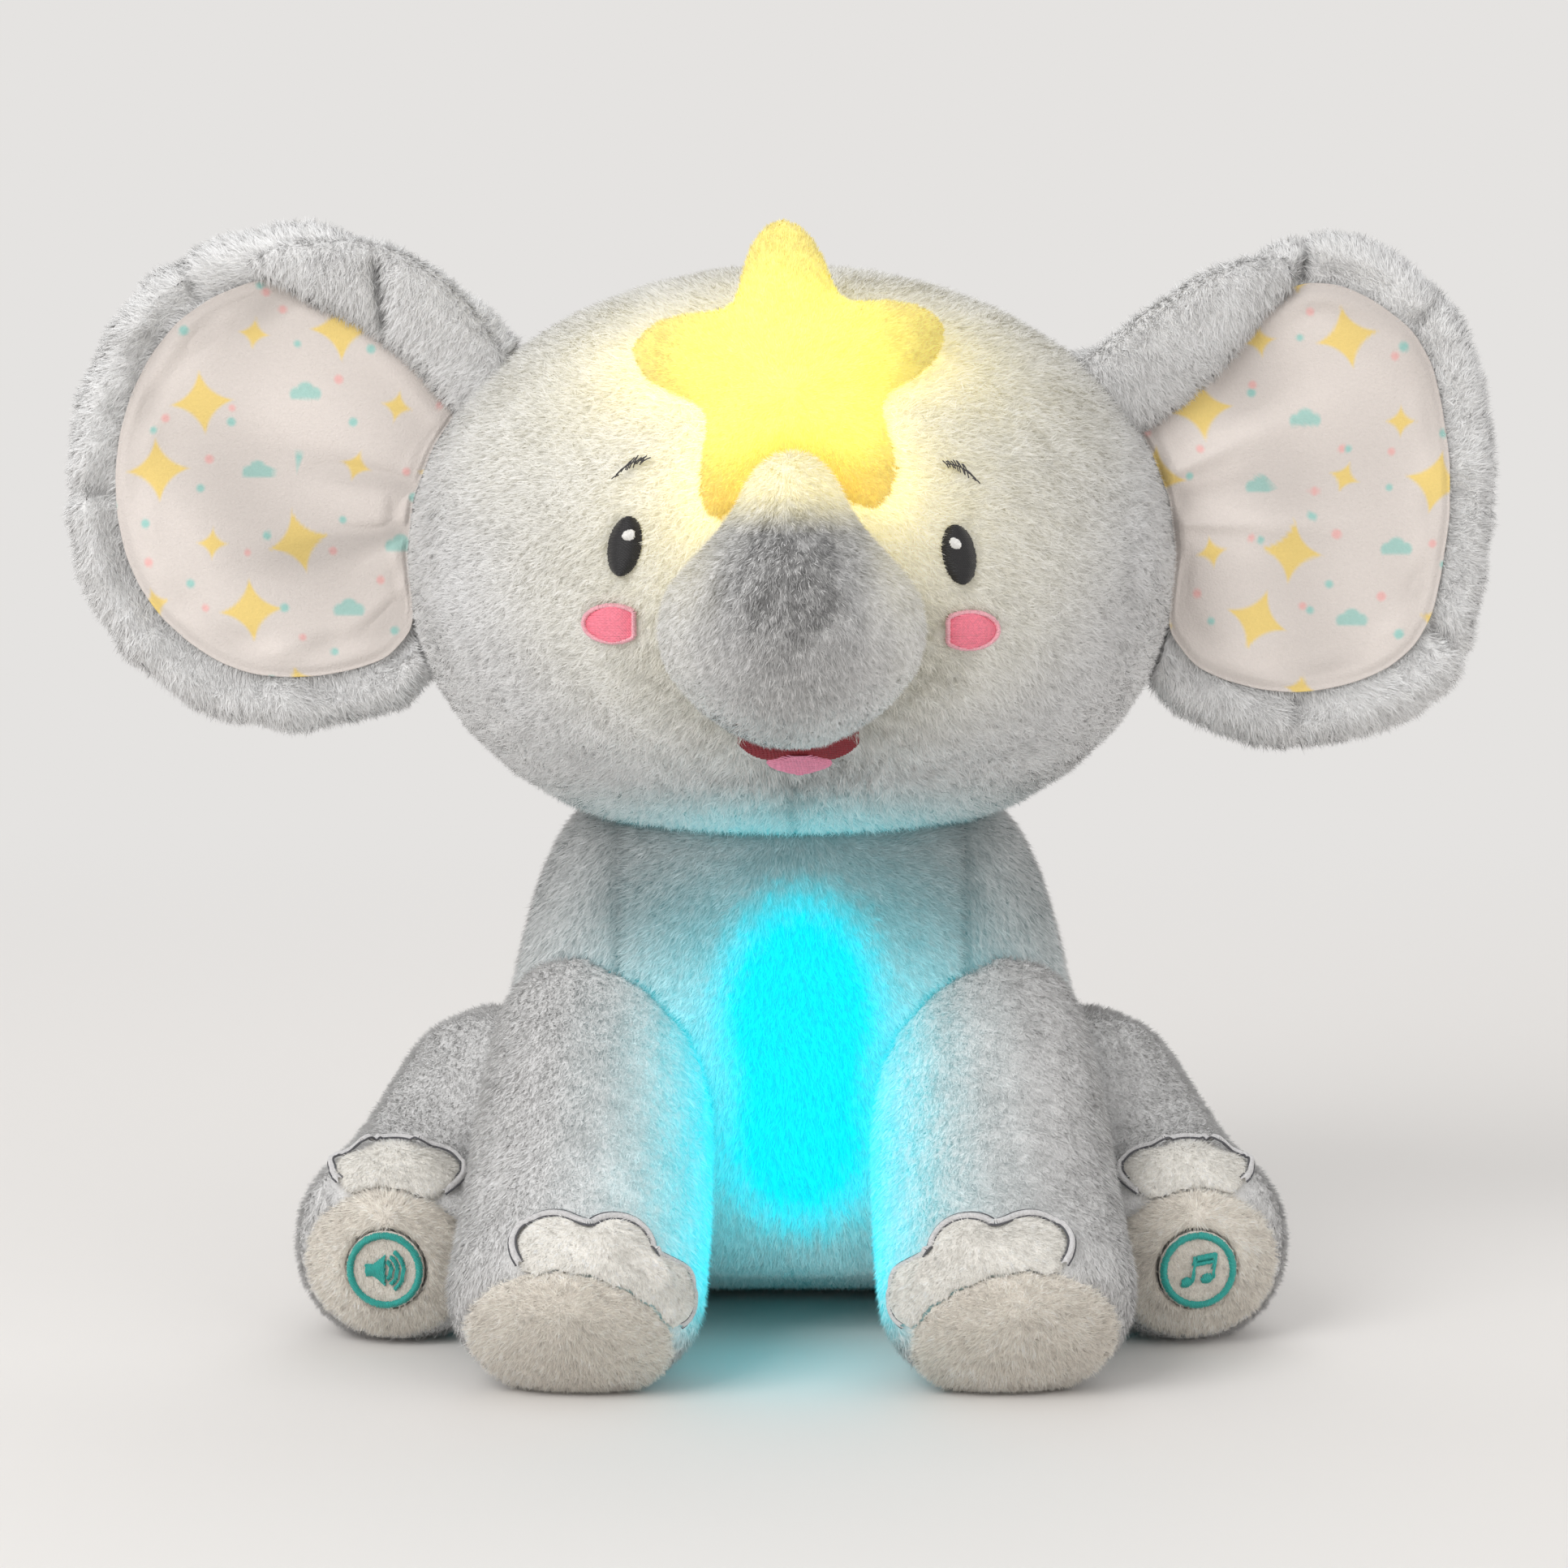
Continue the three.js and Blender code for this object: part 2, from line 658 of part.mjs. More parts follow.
function hindLeg(sign) {
  return limb({
    start: new Vector3((sign * hipSpacing) / 2, bodyFront + hipBack, hipHeight),
    end: new Vector3((sign * hindFootSpacing) / 2, bodyFront - hindSoleForward, hindFootRise),
    pathShares: hindLegShares,
    width: hindFootWidth,
    height: hindFootHeight,
    widthShares: hindWidthShares,
    heightShares: hindHeightShares,
    cap: hindCap,
    startCap: hipCap,
    sole: { shares: hindSoleShares, drop: hindSoleDrop, lean: 0 },
  });
}

// Surface that the whole object sits on: everything below it is cut away
const below = block(-bodyWidth - headWidth, bodyWidth + headWidth, -2 * headDepth, 2 * headDepth, -2 * cutOverrun, 0);

// Leads: a tube along points chosen by hand
function leadTube(points, radius) {
  const shape = new THREE.Shape();
  shape.absarc(0, 0, radius, 0, 2 * Math.PI, false);
  const path = new THREE.CatmullRomCurve3(points, false, 'centripetal');
  const geometry = new THREE.ExtrudeGeometry(shape, {
    steps: leadSteps, bevelEnabled: false, extrudePath: path, curveSegments: leadSides / 2,
  });
  return solidFrom(geometry);
}

// Star's own plane: across, up the star, and out of it
const starUp = new Vector3(0, Math.sin(starTilt), Math.cos(starTilt));
const starOut = new Vector3(0, -Math.cos(starTilt), Math.sin(starTilt));
const starMiddle = new Vector3(0, faceAt(0, chinHeight + starRise), chinHeight + starRise)
  .addScaledVector(starOut, starLift);
const lampRim = starMiddle.clone().addScaledVector(starOut, -lampSink);

function starOutline() {
  const half = Math.PI / starPoints;
  const round = [];
  for (let tip = 0; tip < starPoints; tip++) {
    const way = Math.PI / 2 + starTurn + 2 * half * tip;
    const after = starTipShares.map(([turn, reach]) => [way + half * turn, starRadius * reach]);
    const before = starTipShares.slice(1, -1).map(([turn, reach]) => [way - half * turn, starRadius * reach]);
    round.push(...before.reverse(), ...after);
  }
  return round.map(([angle, radius]) => [radius * Math.cos(angle), radius * Math.sin(angle)]);
}

function starForm() {
  const t = starThickness / 2;
  const profile = [[0, -t], [0.35, -t * 0.97], [0.66, -t * 0.75], [0.88, -t * 0.38], [1, 0],
    [0.93, t * 0.42], [0.78, t * 0.72], [0.5, t * 0.95], [0, t]];
  return pad(starOutline(), profile, (u, v, lift) => {
    const out = lift - starBend * (u / starRadius) ** 2;
    const rise = v * (v < 0 ? starLowShare : 1);
    return starMiddle.clone().addScaledVector(starUp, rise).addScaledVector(starOut, out).add(new Vector3(u, 0, 0));
  });
}

// Pads on the face, cut to the head's surface
const headCutter = headForm(seamGap);

function facePadForm(outline, x, rise, thickness) {
  const z = chinHeight + rise;
  const profile = [[0, -thickness], [1, -thickness], [1, thickness * 0.6], [0.8, thickness], [0, thickness]];
  return pad(outline, profile, (u, v, lift) => new Vector3(x + u, faceAt(x + u, z + v, lift), z + v));
}

const facePad = (outline, x, rise) => facePadForm(outline, x, rise, stitchThickness).subtract(headCutter);

function browOutline(sign) {
  const steps = 4;
  const lower = [];
  const upper = [];
  for (let i = 0; i <= steps; i++) {
    const t = (2 * i) / steps - 1;
    const rise = browArch * (1 - t * t);
    const half = (browHeight / 2) * (1 - 0.5 * Math.abs(t));
    lower.push([(t * browWidth) / 2, rise - half]);
    upper.unshift([(t * browWidth) / 2, rise + half]);
  }
  const lean = -sign * browLean;
  return [...lower, ...upper].map(([u, v]) => [
    u * Math.cos(lean) - v * Math.sin(lean),
    u * Math.sin(lean) + v * Math.cos(lean),
  ]);
}

function mouthOutline() {
  const steps = 8;
  const lower = Array.from({ length: steps + 1 }, (_, i) => {
    const t = (2 * i) / steps - 1;
    return [(t * mouthWidth) / 2, (mouthHeight / 2) * (1 - 2 * (1 - t ** 4))];
  });
  const upper = lower.slice(1, -1).map(([u]) => [u, (mouthHeight / 2) * 0.98]).reverse();
  return [...lower, ...upper];
}

// Ears: each swings about a line along its seam
const earSide = headWidth / 2;

function earHinge(sign) {
  const top = new Vector3(sign * (earSide - earHingeTopIn), 0, chinHeight + earHingeTop);
  const low = new Vector3(sign * (earSide - earHingeLowIn), 0, chinHeight + earHingeLow);
  return { low, axis: top.clone().sub(low).normalize() };
}

function turnedAbout(solid, place, axis, angle) {
  const matrix = new THREE.Matrix4().makeTranslation(place.x, place.y, place.z)
    .multiply(new THREE.Matrix4().makeRotationAxis(axis, angle))
    .multiply(new THREE.Matrix4().makeTranslation(-place.x, -place.y, -place.z));
  return solid.transform(matrix.elements);
}

// Everything that the head sweeps through, seen from the swinging ear
function earCutter(sign) {
  const { low, axis } = earHinge(sign);
  return [-1, -0.5, 0.5, 1].reduce(
    (swept, share) => swept.add(turnedAbout(headCutter, low, axis, share * earRange)), headCutter);
}

function earOutline(shares) {
  const points = shares.map(([u, v]) => new Vector3(u * earWidth, v * earHeight, 0));
  const curve = new THREE.CatmullRomCurve3(points, true, 'centripetal');
  return Array.from({ length: earSteps }, (_, i) => curve.getPoint(i / earSteps)).map(({ x, y }) => [x, y]);
}

const earPoint = (sign) => (u, v, lift) =>
  new Vector3(sign * (earSide + earMiddle + u), -lift, chinHeight + earRise + v);

function ear(sign, shares) {
  const r = earRim / 2;
  const floor = earBelly / 2;
  const profile = [[0, -floor], [0.5, -floor], [0.82, -r * 0.9], [0.94, -r * 0.7], [1, 0],
    [0.965, r * 0.75], [0.905, r], [0.845, r * 0.7], [liningShare + 0.01, floor - liningThickness],
    [0, floor - liningThickness]];
  return pad(earOutline(shares), profile, earPoint(sign)).subtract(earCutter(sign));
}

function earLining(sign, shares) {
  const low = earBelly / 2 - liningThickness + fitGap;
  const high = earBelly / 2 + fitGap;
  const profile = [[0, low], [liningShare - 0.015, low], [liningShare - 0.01, (low + high) / 2],
    [liningShare - 0.03, high], [0, high]];
  return pad(earOutline(shares), profile, earPoint(sign)).subtract(earCutter(sign));
}

// Toe patch: the outline of a few overlapping round lobes
function toeOutline(lobeShares, width) {
  const half = width / 2;
  const fine = Array.from({ length: toeFineSteps }, (_, i) => {
    const angle = (2 * Math.PI * i) / toeFineSteps;
    const [c, s] = [Math.cos(angle), Math.sin(angle)];
    const reach = Math.max(...lobeShares.map(([u, v, radius]) => {
      const along = u * half * c + v * half * s;
      const off = (u * half) ** 2 + (v * half) ** 2 - along ** 2;
      return (radius * half) ** 2 < off ? 0 : along + Math.sqrt((radius * half) ** 2 - off);
    }));
    return new Vector3(reach * c, reach * s, 0);
  });
  const curve = new THREE.CatmullRomCurve3(fine, true, 'centripetal');
  return curve.getSpacedPoints(toeSteps).slice(0, toeSteps).map(({ x, y }) => [x, y]);
}

// Foot button places, on the hind soles
function footButton(leg) {
  const { forward } = leg.frameAt(leg.length);
  return { face: leg.soleAt(0, -buttonDrop, 0), forward };
}

function footSole(leg, grow = 0) {
  const [half, tall] = leg.sizeAt(leg.length);
  const { shares, drop, lean } = leg.sole;
  const t = soleThickness + grow;
  const outline = ellipse(2 * (half * shares[0] + grow), 2 * (tall * shares[1] + grow), soleSteps, lean);
  const profile = [[0, -t], [0.97, -t], [1, t * 0.5], [0.93, t], [0.6, t], [0.3, t], [0, t]];
  return pad(outline, profile, (u, v, lift) => leg.soleAt(u, v - drop, lift));
}

// Its lobes run towards one side, and the patch sits off the top of the foot
function footToes(leg, outline, lobeSide, shift) {
  const t = toeThickness;
  const profile = [[0, -t], [0.98, -t], [1, t * 0.5], [0.9, t], [0.5, t], [0, t]];
  const back = leg.edgeAt(leg.sole.shares[1] - leg.sole.drop / leg.sizeAt(leg.length)[1]) + toeSetback;
  return pad(outline, profile, (u, v, lift) => leg.topAt(shift + lobeSide * u, back + v, lift))
    .subtract(footSole(leg, seamGap));
}

const bodySolid = bodyForm();
const bodyCutter = bodyForm(seamGap);
const front = Object.fromEntries(sides.map(([name, sign]) => [name, frontLeg(sign)]));
const hind = Object.fromEntries(sides.map(([name, sign]) => [name, hindLeg(sign)]));

// Lead routes
const lampBack = lampRim.clone().addScaledVector(starOut, -lampDepth - fitGap);
const caseTop = moduleBottom + moduleHeight + fitGap;
const starRoute = [
  lampBack,
  lampBack.clone().addScaledVector(starOut, -leadStraight),
  ...starLeadPoints.map(([x, y, z]) => new Vector3(x, y, z)),
  new Vector3(0, starLeadPoints.at(-1)[1], caseTop),
];
function footRoute(name, sign) {
  const { face, forward } = footButton(hind[name]);
  const start = face.clone().addScaledVector(forward, -housingDepth - fitGap);
  return [
    new Vector3(sign * (moduleWidth / 2 + fitGap), leadExitBack, leadExitRise),
    new Vector3(sign * (moduleWidth / 2 + leadStraight), leadExitBack, leadExitRise),
    ...footLeadPoints.map(([x, y, z]) => new Vector3(sign * x, y, z)),
    start.clone().addScaledVector(forward, -leadStraight),
    start,
  ];
}
const routes = { star: starRoute, left: footRoute('left', -1), right: footRoute('right', 1) };
const channel = Object.fromEntries(
  Object.entries(routes).map(([name, points]) => [name, leadTube(points, leadRadius + leadGap)]));

// Sound-and-light module
function moduleShape(grow = 0) {
  const half = moduleWidth / 2 + grow;
  return roundedShape(-half, half, moduleBottom - grow, moduleBottom + moduleHeight + grow, moduleCorner + grow);
}

function capsuleOutline(grow) {
  const radius = domeWidth / 2 + grow;
  const rise = (domeHeight - domeWidth) / 2;
  const steps = 7;
  const outline = [];
  for (let i = 0; i <= steps; i++) outline.push([radius * Math.cos((Math.PI * i) / steps), rise + radius * Math.sin((Math.PI * i) / steps)]);
  for (let i = 0; i <= steps; i++) outline.push([-radius * Math.cos((Math.PI * i) / steps), -rise - radius * Math.sin((Math.PI * i) / steps)]);
  return outline;
}

function domeForm(grow, back) {
  const depth = domeDepth + grow;
  const profile = [[0, -back], [1, -back], [1, depth * 0.62], [0.93, depth * 0.84], [0.78, depth * 0.96], [0, depth]];
  return pad(capsuleOutline(grow), profile, (u, v, lift) => new Vector3(u, flangeFront - lift, moduleMiddle + v));
}

function diffuser() {
  return prismY(moduleShape(), flangeFront, flangeFront + flangeThickness)
    .add(domeForm(0, flangeThickness / 2))
    .subtract(domeForm(-domeWall, flangeThickness + cutOverrun));
}

const innerHalf = moduleWidth / 2 - caseWall;
const innerShape = (grow) => roundedShape(-innerHalf + grow, innerHalf - grow, moduleBottom + caseWall + grow,
  moduleBottom + moduleHeight - caseWall - grow, moduleCorner - caseWall);
const speakerMiddle = moduleBottom + speakerRise;
const speakerBack = caseBack - speakerWall;
const alongY = new Vector3(0, 1, 0);

function moduleCase() {
  const bay = block(-bayLength / 2, bayLength / 2, bayFront, caseBack + cutOverrun, bayBottom, bayBottom + bayHeight);
  const speakerPocket = placed(cylinder(speakerRadius + fitGap, cavityBack - caseWall, speakerBack),
    new Vector3(-speakerAcross, 0, speakerMiddle), alongY);
  const switchHalf = (switchLength + switchTravel) / 2 + fitGap;
  const switchMiddle = moduleBottom + switchRise;
  const recess = block(switchAcross - switchWidth / 2 - fitGap, switchAcross + switchWidth / 2 + fitGap,
    caseBack - switchDepth - fitGap, caseBack + cutOverrun, switchMiddle - switchHalf, switchMiddle + switchHalf);
  const screwHole = placed(cylinder(screwRadius + fitGap, caseBack - screwLength, caseBack + cutOverrun, 12),
    new Vector3(doorScrewAcross, 0, doorScrewHeight), alongY);
  let shell = prismY(moduleShape(), caseFront, caseBack)
    .subtract(prismY(innerShape(0), caseFront - cutOverrun, cavityBack))
    .subtract(bay).subtract(speakerPocket).subtract(recess).subtract(screwHole);
  for (let k = 0; k <= grilleHoles; k++) {
    const angle = (2 * Math.PI * k) / grilleHoles;
    const ring = k === grilleHoles ? 0 : grilleRing;
    const place = new Vector3(-speakerAcross + ring * Math.cos(angle), 0, speakerMiddle + ring * Math.sin(angle));
    shell = shell.subtract(placed(cylinder(grilleHoleRadius, speakerBack - caseWall, caseBack + cutOverrun, 8), place, alongY));
  }
  return shell;
}

const doorTop = bayBottom + bayHeight + doorEar;
const doorScrewHeight = bayBottom + bayHeight + doorEar / 2;
const doorFront = caseBack + fitGap;
const doorBack = doorFront + doorThickness;

function batteryDoor() {
  const half = bayLength / 2 + doorMargin;
  const shape = roundedShape(-half, half, bayBottom - doorMargin, doorTop, doorCorner);
  const hole = placed(cylinder(screwRadius + fitGap, doorFront - cutOverrun, doorBack + cutOverrun, 12),
    new Vector3(doorScrewAcross, 0, doorScrewHeight), alongY);
  return prismY(shape, doorFront, doorBack).subtract(hole);
}

function doorScrew() {
  const top = screwHeadHeight;
  const screw = turned([[0, -screwLength], [screwRadius, -screwLength], [screwRadius, 0], [screwHeadRadius, 0],
    [screwHeadRadius, top * 0.6], [screwHeadRadius * 0.8, top], [0, top]], 12);
  const slot = block(-screwSlotWidth / 2, screwSlotWidth / 2, -screwHeadRadius, screwHeadRadius,
    top - screwSlotDepth, top + cutOverrun);
  const cross = slot.add(slot.rotate([0, 0, 90]));
  return placed(screw.subtract(cross), new Vector3(doorScrewAcross, doorBack + fitGap, doorScrewHeight), alongY);
}

function circuitBoard() {
  const from = caseFront + fitGap;
  const board = prismY(innerShape(fitGap), from, from + boardThickness);
  const chip = block(-chipWidth / 2, chipWidth / 2, from + boardThickness / 2, from + boardThickness + chipThickness,
    moduleMiddle - chipRise - chipHeight / 2, moduleMiddle - chipRise + chipHeight / 2);
  return board.add(chip);
}

function led(side) {
  const r = ledRadius;
  const body = turned([[0, 0], [r * 1.15, 0], [r * 1.15, r * 0.4], [r, r * 0.4], [r, ledLength - r],
    [r * 0.75, ledLength - r * 0.35], [0, ledLength]], 12);
  return placed(body, new Vector3(0, caseFront, moduleMiddle + (side * ledSpacing) / 2), alongY.clone().negate());
}

function speaker() {
  const r = speakerRadius;
  const back = speakerBack - fitGap;
  const cone = speakerDepth - speakerMagnetDepth;
  const profile = [[0, -speakerDepth], [speakerMagnetRadius, -speakerDepth], [speakerMagnetRadius, -cone],
    [r - speakerFrame, -speakerFrame], [r, -speakerFrame], [r, 0], [r - speakerFrame, 0],
    [speakerMagnetRadius / 2, -speakerFrame], [0, -speakerFrame]];
  return placed(turned(profile, 16), new Vector3(-speakerAcross, back, speakerMiddle), alongY);
}

function powerSwitch() {
  const middle = moduleBottom + switchRise + switchTravel / 2;
  const slider = block(switchAcross - switchWidth / 2, switchAcross + switchWidth / 2, caseBack - switchDepth, caseBack,
    middle - switchLength / 2, middle + switchLength / 2);
  const half = switchKnobWidth / 2;
  const knob = block(switchAcross - half, switchAcross + half, caseBack - switchDepth / 2,
    caseBack + switchKnobHeight, middle - half, middle + half);
  return slider.add(knob);
}

// Cells lie across the case, turned about in turn
const cellHeight = (k) => bayBottom + fitGap + cellPitch * (k + 0.5);
const cellSide = (k) => (k % 2 ? 1 : -1);
const plateFace = bayLength / 2 - fitGap - plateThickness;

function cell(k) {
  const body = turned([[0, 0], [cellRadius, 0], [cellRadius, cellLength], [cellPipRadius, cellLength],
    [cellPipRadius, cellLength + cellPipLength], [0, cellLength + cellPipLength]], 14);
  const side = cellSide(k);
  const start = side * (plateFace - fitGap - cellLength - cellPipLength);
  return placed(body, new Vector3(start, bayFront + fitGap + cellRadius, cellHeight(k)), new Vector3(side, 0, 0));
}

class Coil extends THREE.Curve {
  getPoint(t, target = new Vector3()) {
    const angle = 2 * Math.PI * springTurns * t;
    const radius = springRadius + (springTipRadius - springRadius) * t;
    const reach = springLength - springWire;
    return target.set(radius * Math.cos(angle), radius * Math.sin(angle), reach * t);
  }
}

function contactSpring(side, height) {
  const shape = new THREE.Shape();
  shape.absarc(0, 0, springWire, 0, 2 * Math.PI, false);
  const geometry = new THREE.ExtrudeGeometry(shape, {
    steps: springTurns * springTurnSteps, bevelEnabled: false, extrudePath: new Coil(), curveSegments: 2,
  });
  const place = new Vector3(side * plateFace, bayFront + fitGap + cellRadius, height);
  return placed(solidFrom(geometry), place, new Vector3(-side, 0, 0));
}

function contactPlate(side) {
  const from = plateFace;
  const to = plateFace + plateThickness;
  const middle = bayFront + fitGap + cellRadius;
  let plate = block(Math.min(side * from, side * to), Math.max(side * from, side * to), middle - plateDepth / 2,
    middle + plateDepth / 2, bayBottom + 2 * fitGap, bayBottom + bayHeight - 2 * fitGap);
  for (let k = 0; k < cellCount; k++) {
    if (cellSide(k) !== side) plate = plate.add(contactSpring(side, cellHeight(k)));
  }
  return plate;
}

// Pocket for the module, the tunnel behind it and the flap over its mouth
const pocketEnd = caseBack + pocketBack;
const behind = bodyBack + cutOverrun;
const flapInner = -flapThickness;
const flapShape = (grow) => roundedShape(-tunnelWidth / 2 - flapMargin - grow, tunnelWidth / 2 + flapMargin + grow,
  tunnelBottom - flapMargin - grow, tunnelTop + flapMargin + grow, moduleCorner);
const tunnelShape = roundedShape(-tunnelWidth / 2, tunnelWidth / 2, tunnelBottom, tunnelTop, moduleCorner);
const hookOuter = flapInner - seamGap;
const loopOuter = hookOuter - fastenerThickness - seamGap;
const ledge = loopOuter - fastenerThickness - seamGap;

// A layer of the body's back between two depths under its surface
function backLayer(outer, inner, shape) {
  return prismY(shape, pocketEnd, behind).intersect(bodyForm(outer)).subtract(bodyForm(inner));
}

const fastenerLow = tunnelBottom - flapMargin + fitGap;
const hookShape = roundedShape(-fastenerWidth / 2, fastenerWidth / 2, fastenerLow, fastenerLow + flapMargin - fitGap, fastenerThickness);

function body() {
  const mouth = prismY(flapShape(seamGap), pocketEnd, behind + cutOverrun).subtract(bodyForm(ledge));
  let stuffed = bodySolid
    .subtract(headCutter)
    .subtract(below)
    .subtract(prismY(moduleShape(seamGap), flangeFront - fitGap, pocketEnd))
    .subtract(domeForm(seamGap, cutOverrun))
    .subtract(prismY(tunnelShape, pocketEnd - cutOverrun, behind + cutOverrun))
    .subtract(mouth);
  for (const lead of Object.values(channel)) stuffed = stuffed.subtract(lead);
  return stuffed;
}

function bellyPanel() {
  const shape = new THREE.Shape();
  shape.moveTo(-panelHalfWidth, panelTop);
  shape.lineTo(-panelHalfWidth, panelStep);
  shape.quadraticCurveTo(-panelWaist, panelStep - panelWaist / 2, -panelWaist, panelStep - panelWaist);
  shape.lineTo(-panelWaist, panelBottom);
  shape.lineTo(panelWaist, panelBottom);
  shape.lineTo(panelWaist, panelStep - panelWaist);
  shape.quadraticCurveTo(panelWaist, panelStep - panelWaist / 2, panelHalfWidth, panelStep);
  shape.lineTo(panelHalfWidth, panelTop);
  let panel = prismY(shape, bodyFront - cutOverrun, 0)
    .intersect(bodyForm(seamGap + panelThickness))
    .subtract(bodyCutter)
    .subtract(headCutter);
  for (const [name] of sides) panel = panel.subtract(front[name].solid(seamGap));
  return panel;
}

function tail() {
  const row = bodyRowAt(tailRise);
  const start = new Vector3(0, row[3], tailRise);
  const upright = new Vector3(0, 0, 1);
  const clear = [-1, -0.5, 0.5, 1].reduce(
    (swept, share) => swept.add(turnedAbout(bodyCutter, start, upright, share * tailRange)), bodyCutter);
  const profile = [[0, 0], [tailRadius * 0.6, tailRadius * 0.12], [tailRadius, tailRadius], [tailRadius * 0.85, tailLength * 0.5],
    [tailTuftRadius, tailLength * 0.75], [tailTuftRadius * 0.7, tailLength * 0.94], [0, tailLength]];
  return placed(turned(profile, 12), start, new Vector3(0, tailLength, -tailDrop)).subtract(clear);
}

// Lamp behind the star
function lampBase() {
  const r = lampRadius;
  return placed(turned([[0, -lampDepth], [r, -lampDepth], [r, 0], [r - lampWall, 0],
    [r - lampWall, lampWall - lampDepth], [0, lampWall - lampDepth]]), lampRim, starOut);
}

function lampBoard() {
  const r = lampRadius - lampWall - fitGap;
  const base = lampWall - lampDepth + fitGap;
  const top = base + lampBoardThickness;
  return placed(turned([[0, base], [r, base], [r, top], [lampLedRadius, top], [lampLedRadius, top + lampLedHeight],
    [0, top + lampLedHeight]]), lampRim, starOut);
}

function lampDome(grow = 0) {
  const r = lampRadius + grow;
  const h = lampDomeHeight + grow;
  return placed(turned([[0, fitGap], [r, fitGap], [r * 0.96, h * 0.4], [r * 0.75, h * 0.78], [r * 0.4, h * 0.96], [0, h]]),
    lampRim, starOut);
}

function hollowDome() {
  const r = lampRadius - lampWall;
  const h = lampDomeHeight - lampWall;
  const inside = placed(turned([[0, -lampWall], [r, -lampWall], [r, fitGap], [r * 0.95, h * 0.4], [r * 0.72, h * 0.78],
    [r * 0.38, h * 0.96], [0, h]]), lampRim, starOut);
  return lampDome().subtract(inside);
}

const lampPocket = placed(cylinder(lampRadius + seamGap, -lampDepth - seamGap, cutOverrun), lampRim, starOut);
const domeRoom = placed(cylinder(lampRadius + seamGap, -starThickness, fitGap + seamGap), lampRim, starOut)
  .add(lampDome(seamGap));

// Node list
const group = new THREE.Group();
function add(name, solid, look) {
  const mesh = new THREE.Mesh(geometryFrom(solid), look);
  mesh.name = name;
  group.add(mesh);
}

add('body', body(), plush);
add('belly_panel', bellyPanel(), plush);
add('head', headForm().subtract(lampPocket).subtract(channel.star), plush);
add('trunk', trunkForm().subtract(headCutter), plush);
add('star', starForm().subtract(headCutter).subtract(domeRoom).subtract(trunkForm(seamGap)), starCloth);
add('star_lamp_base', lampBase(), whitePlastic);
add('star_lamp_board', lampBoard(), greenBoard);
add('star_lamp_dome', hollowDome(), frostedPlastic);

const trunkCutter = trunkForm(seamGap);
for (const [name, sign] of sides) {
  add(`eye_${name}`, facePad(ellipse(eyeWidth, eyeHeight, 16, -sign * -eyeLean), (sign * eyeSpacing) / 2, eyeRise), blackThread);
  add(`brow_${name}`, facePad(browOutline(sign), (sign * browSpacing) / 2, browRise), blackThread);
  add(`cheek_${name}`, facePad(ellipse(cheekWidth, cheekHeight, 16), (sign * cheekSpacing) / 2, cheekRise), pinkThread);
}
const tongue = facePad(ellipse(tongueWidth, tongueHeight, 14), mouthMiddle, mouthRise - tongueDrop).subtract(trunkCutter);
const tongueRoom = facePadForm(ellipse(tongueWidth + 2 * seamGap, tongueHeight + 2 * seamGap, 14), mouthMiddle,
  mouthRise - tongueDrop, stitchThickness * 3);
add('mouth', facePad(mouthOutline(), mouthMiddle, mouthRise).subtract(trunkCutter).subtract(tongueRoom), redThread);
add('tongue', tongue, pinkThread);

for (const [name, sign] of sides) {
  const shares = sign < 0 ? earLeftShares : earRightShares;
  add(`ear_${name}`, ear(sign, shares), plush);
  add(`ear_lining_${name}`, earLining(sign, shares), liningCloth);
}

for (const [name, sign] of sides) {
  const leg = front[name];
  const solid = leg.solid().subtract(bodyCutter).subtract(headCutter).subtract(below);
  const cutter = leg.solid(seamGap);
  add(`front_leg_${name}`, solid, plush);
  const toes = footToes(leg, toeOutline(frontToeLobeShares, frontToeWidth), -sign, -sign * frontToeShift);
  add(`front_sole_${name}`, footSole(leg).subtract(cutter).subtract(below), solePlush);
  add(`front_toes_${name}`, toes.subtract(cutter), palePlush);
}

for (const [name, sign] of sides) {
  const leg = hind[name];
  const { face, forward } = footButton(leg);
  const cutter = leg.solid(seamGap);
  const well = placed(cylinder(housingRadius + fitGap, -housingDepth - fitGap, cutOverrun), face, forward);
  const window = placed(cylinder(patchRadius + fitGap, -cutOverrun, cutOverrun, 20), face, forward);
  const frontCutter = front[name].solid(seamGap);
  const solid = leg.solid().subtract(bodyCutter).subtract(below).subtract(frontCutter).subtract(well)
    .subtract(channel[name]);
  const sole = footSole(leg).subtract(cutter).subtract(window).subtract(below).subtract(frontCutter);
  const toes = footToes(leg, toeOutline(hindToeLobeShares, hindToeWidth), sign, -sign * hindToeShift);
  add(`hind_leg_${name}`, solid, plush);
  add(`hind_sole_${name}`, sole, solePlush);
  add(`hind_toes_${name}`, toes.subtract(cutter).subtract(frontCutter), palePlush);
}

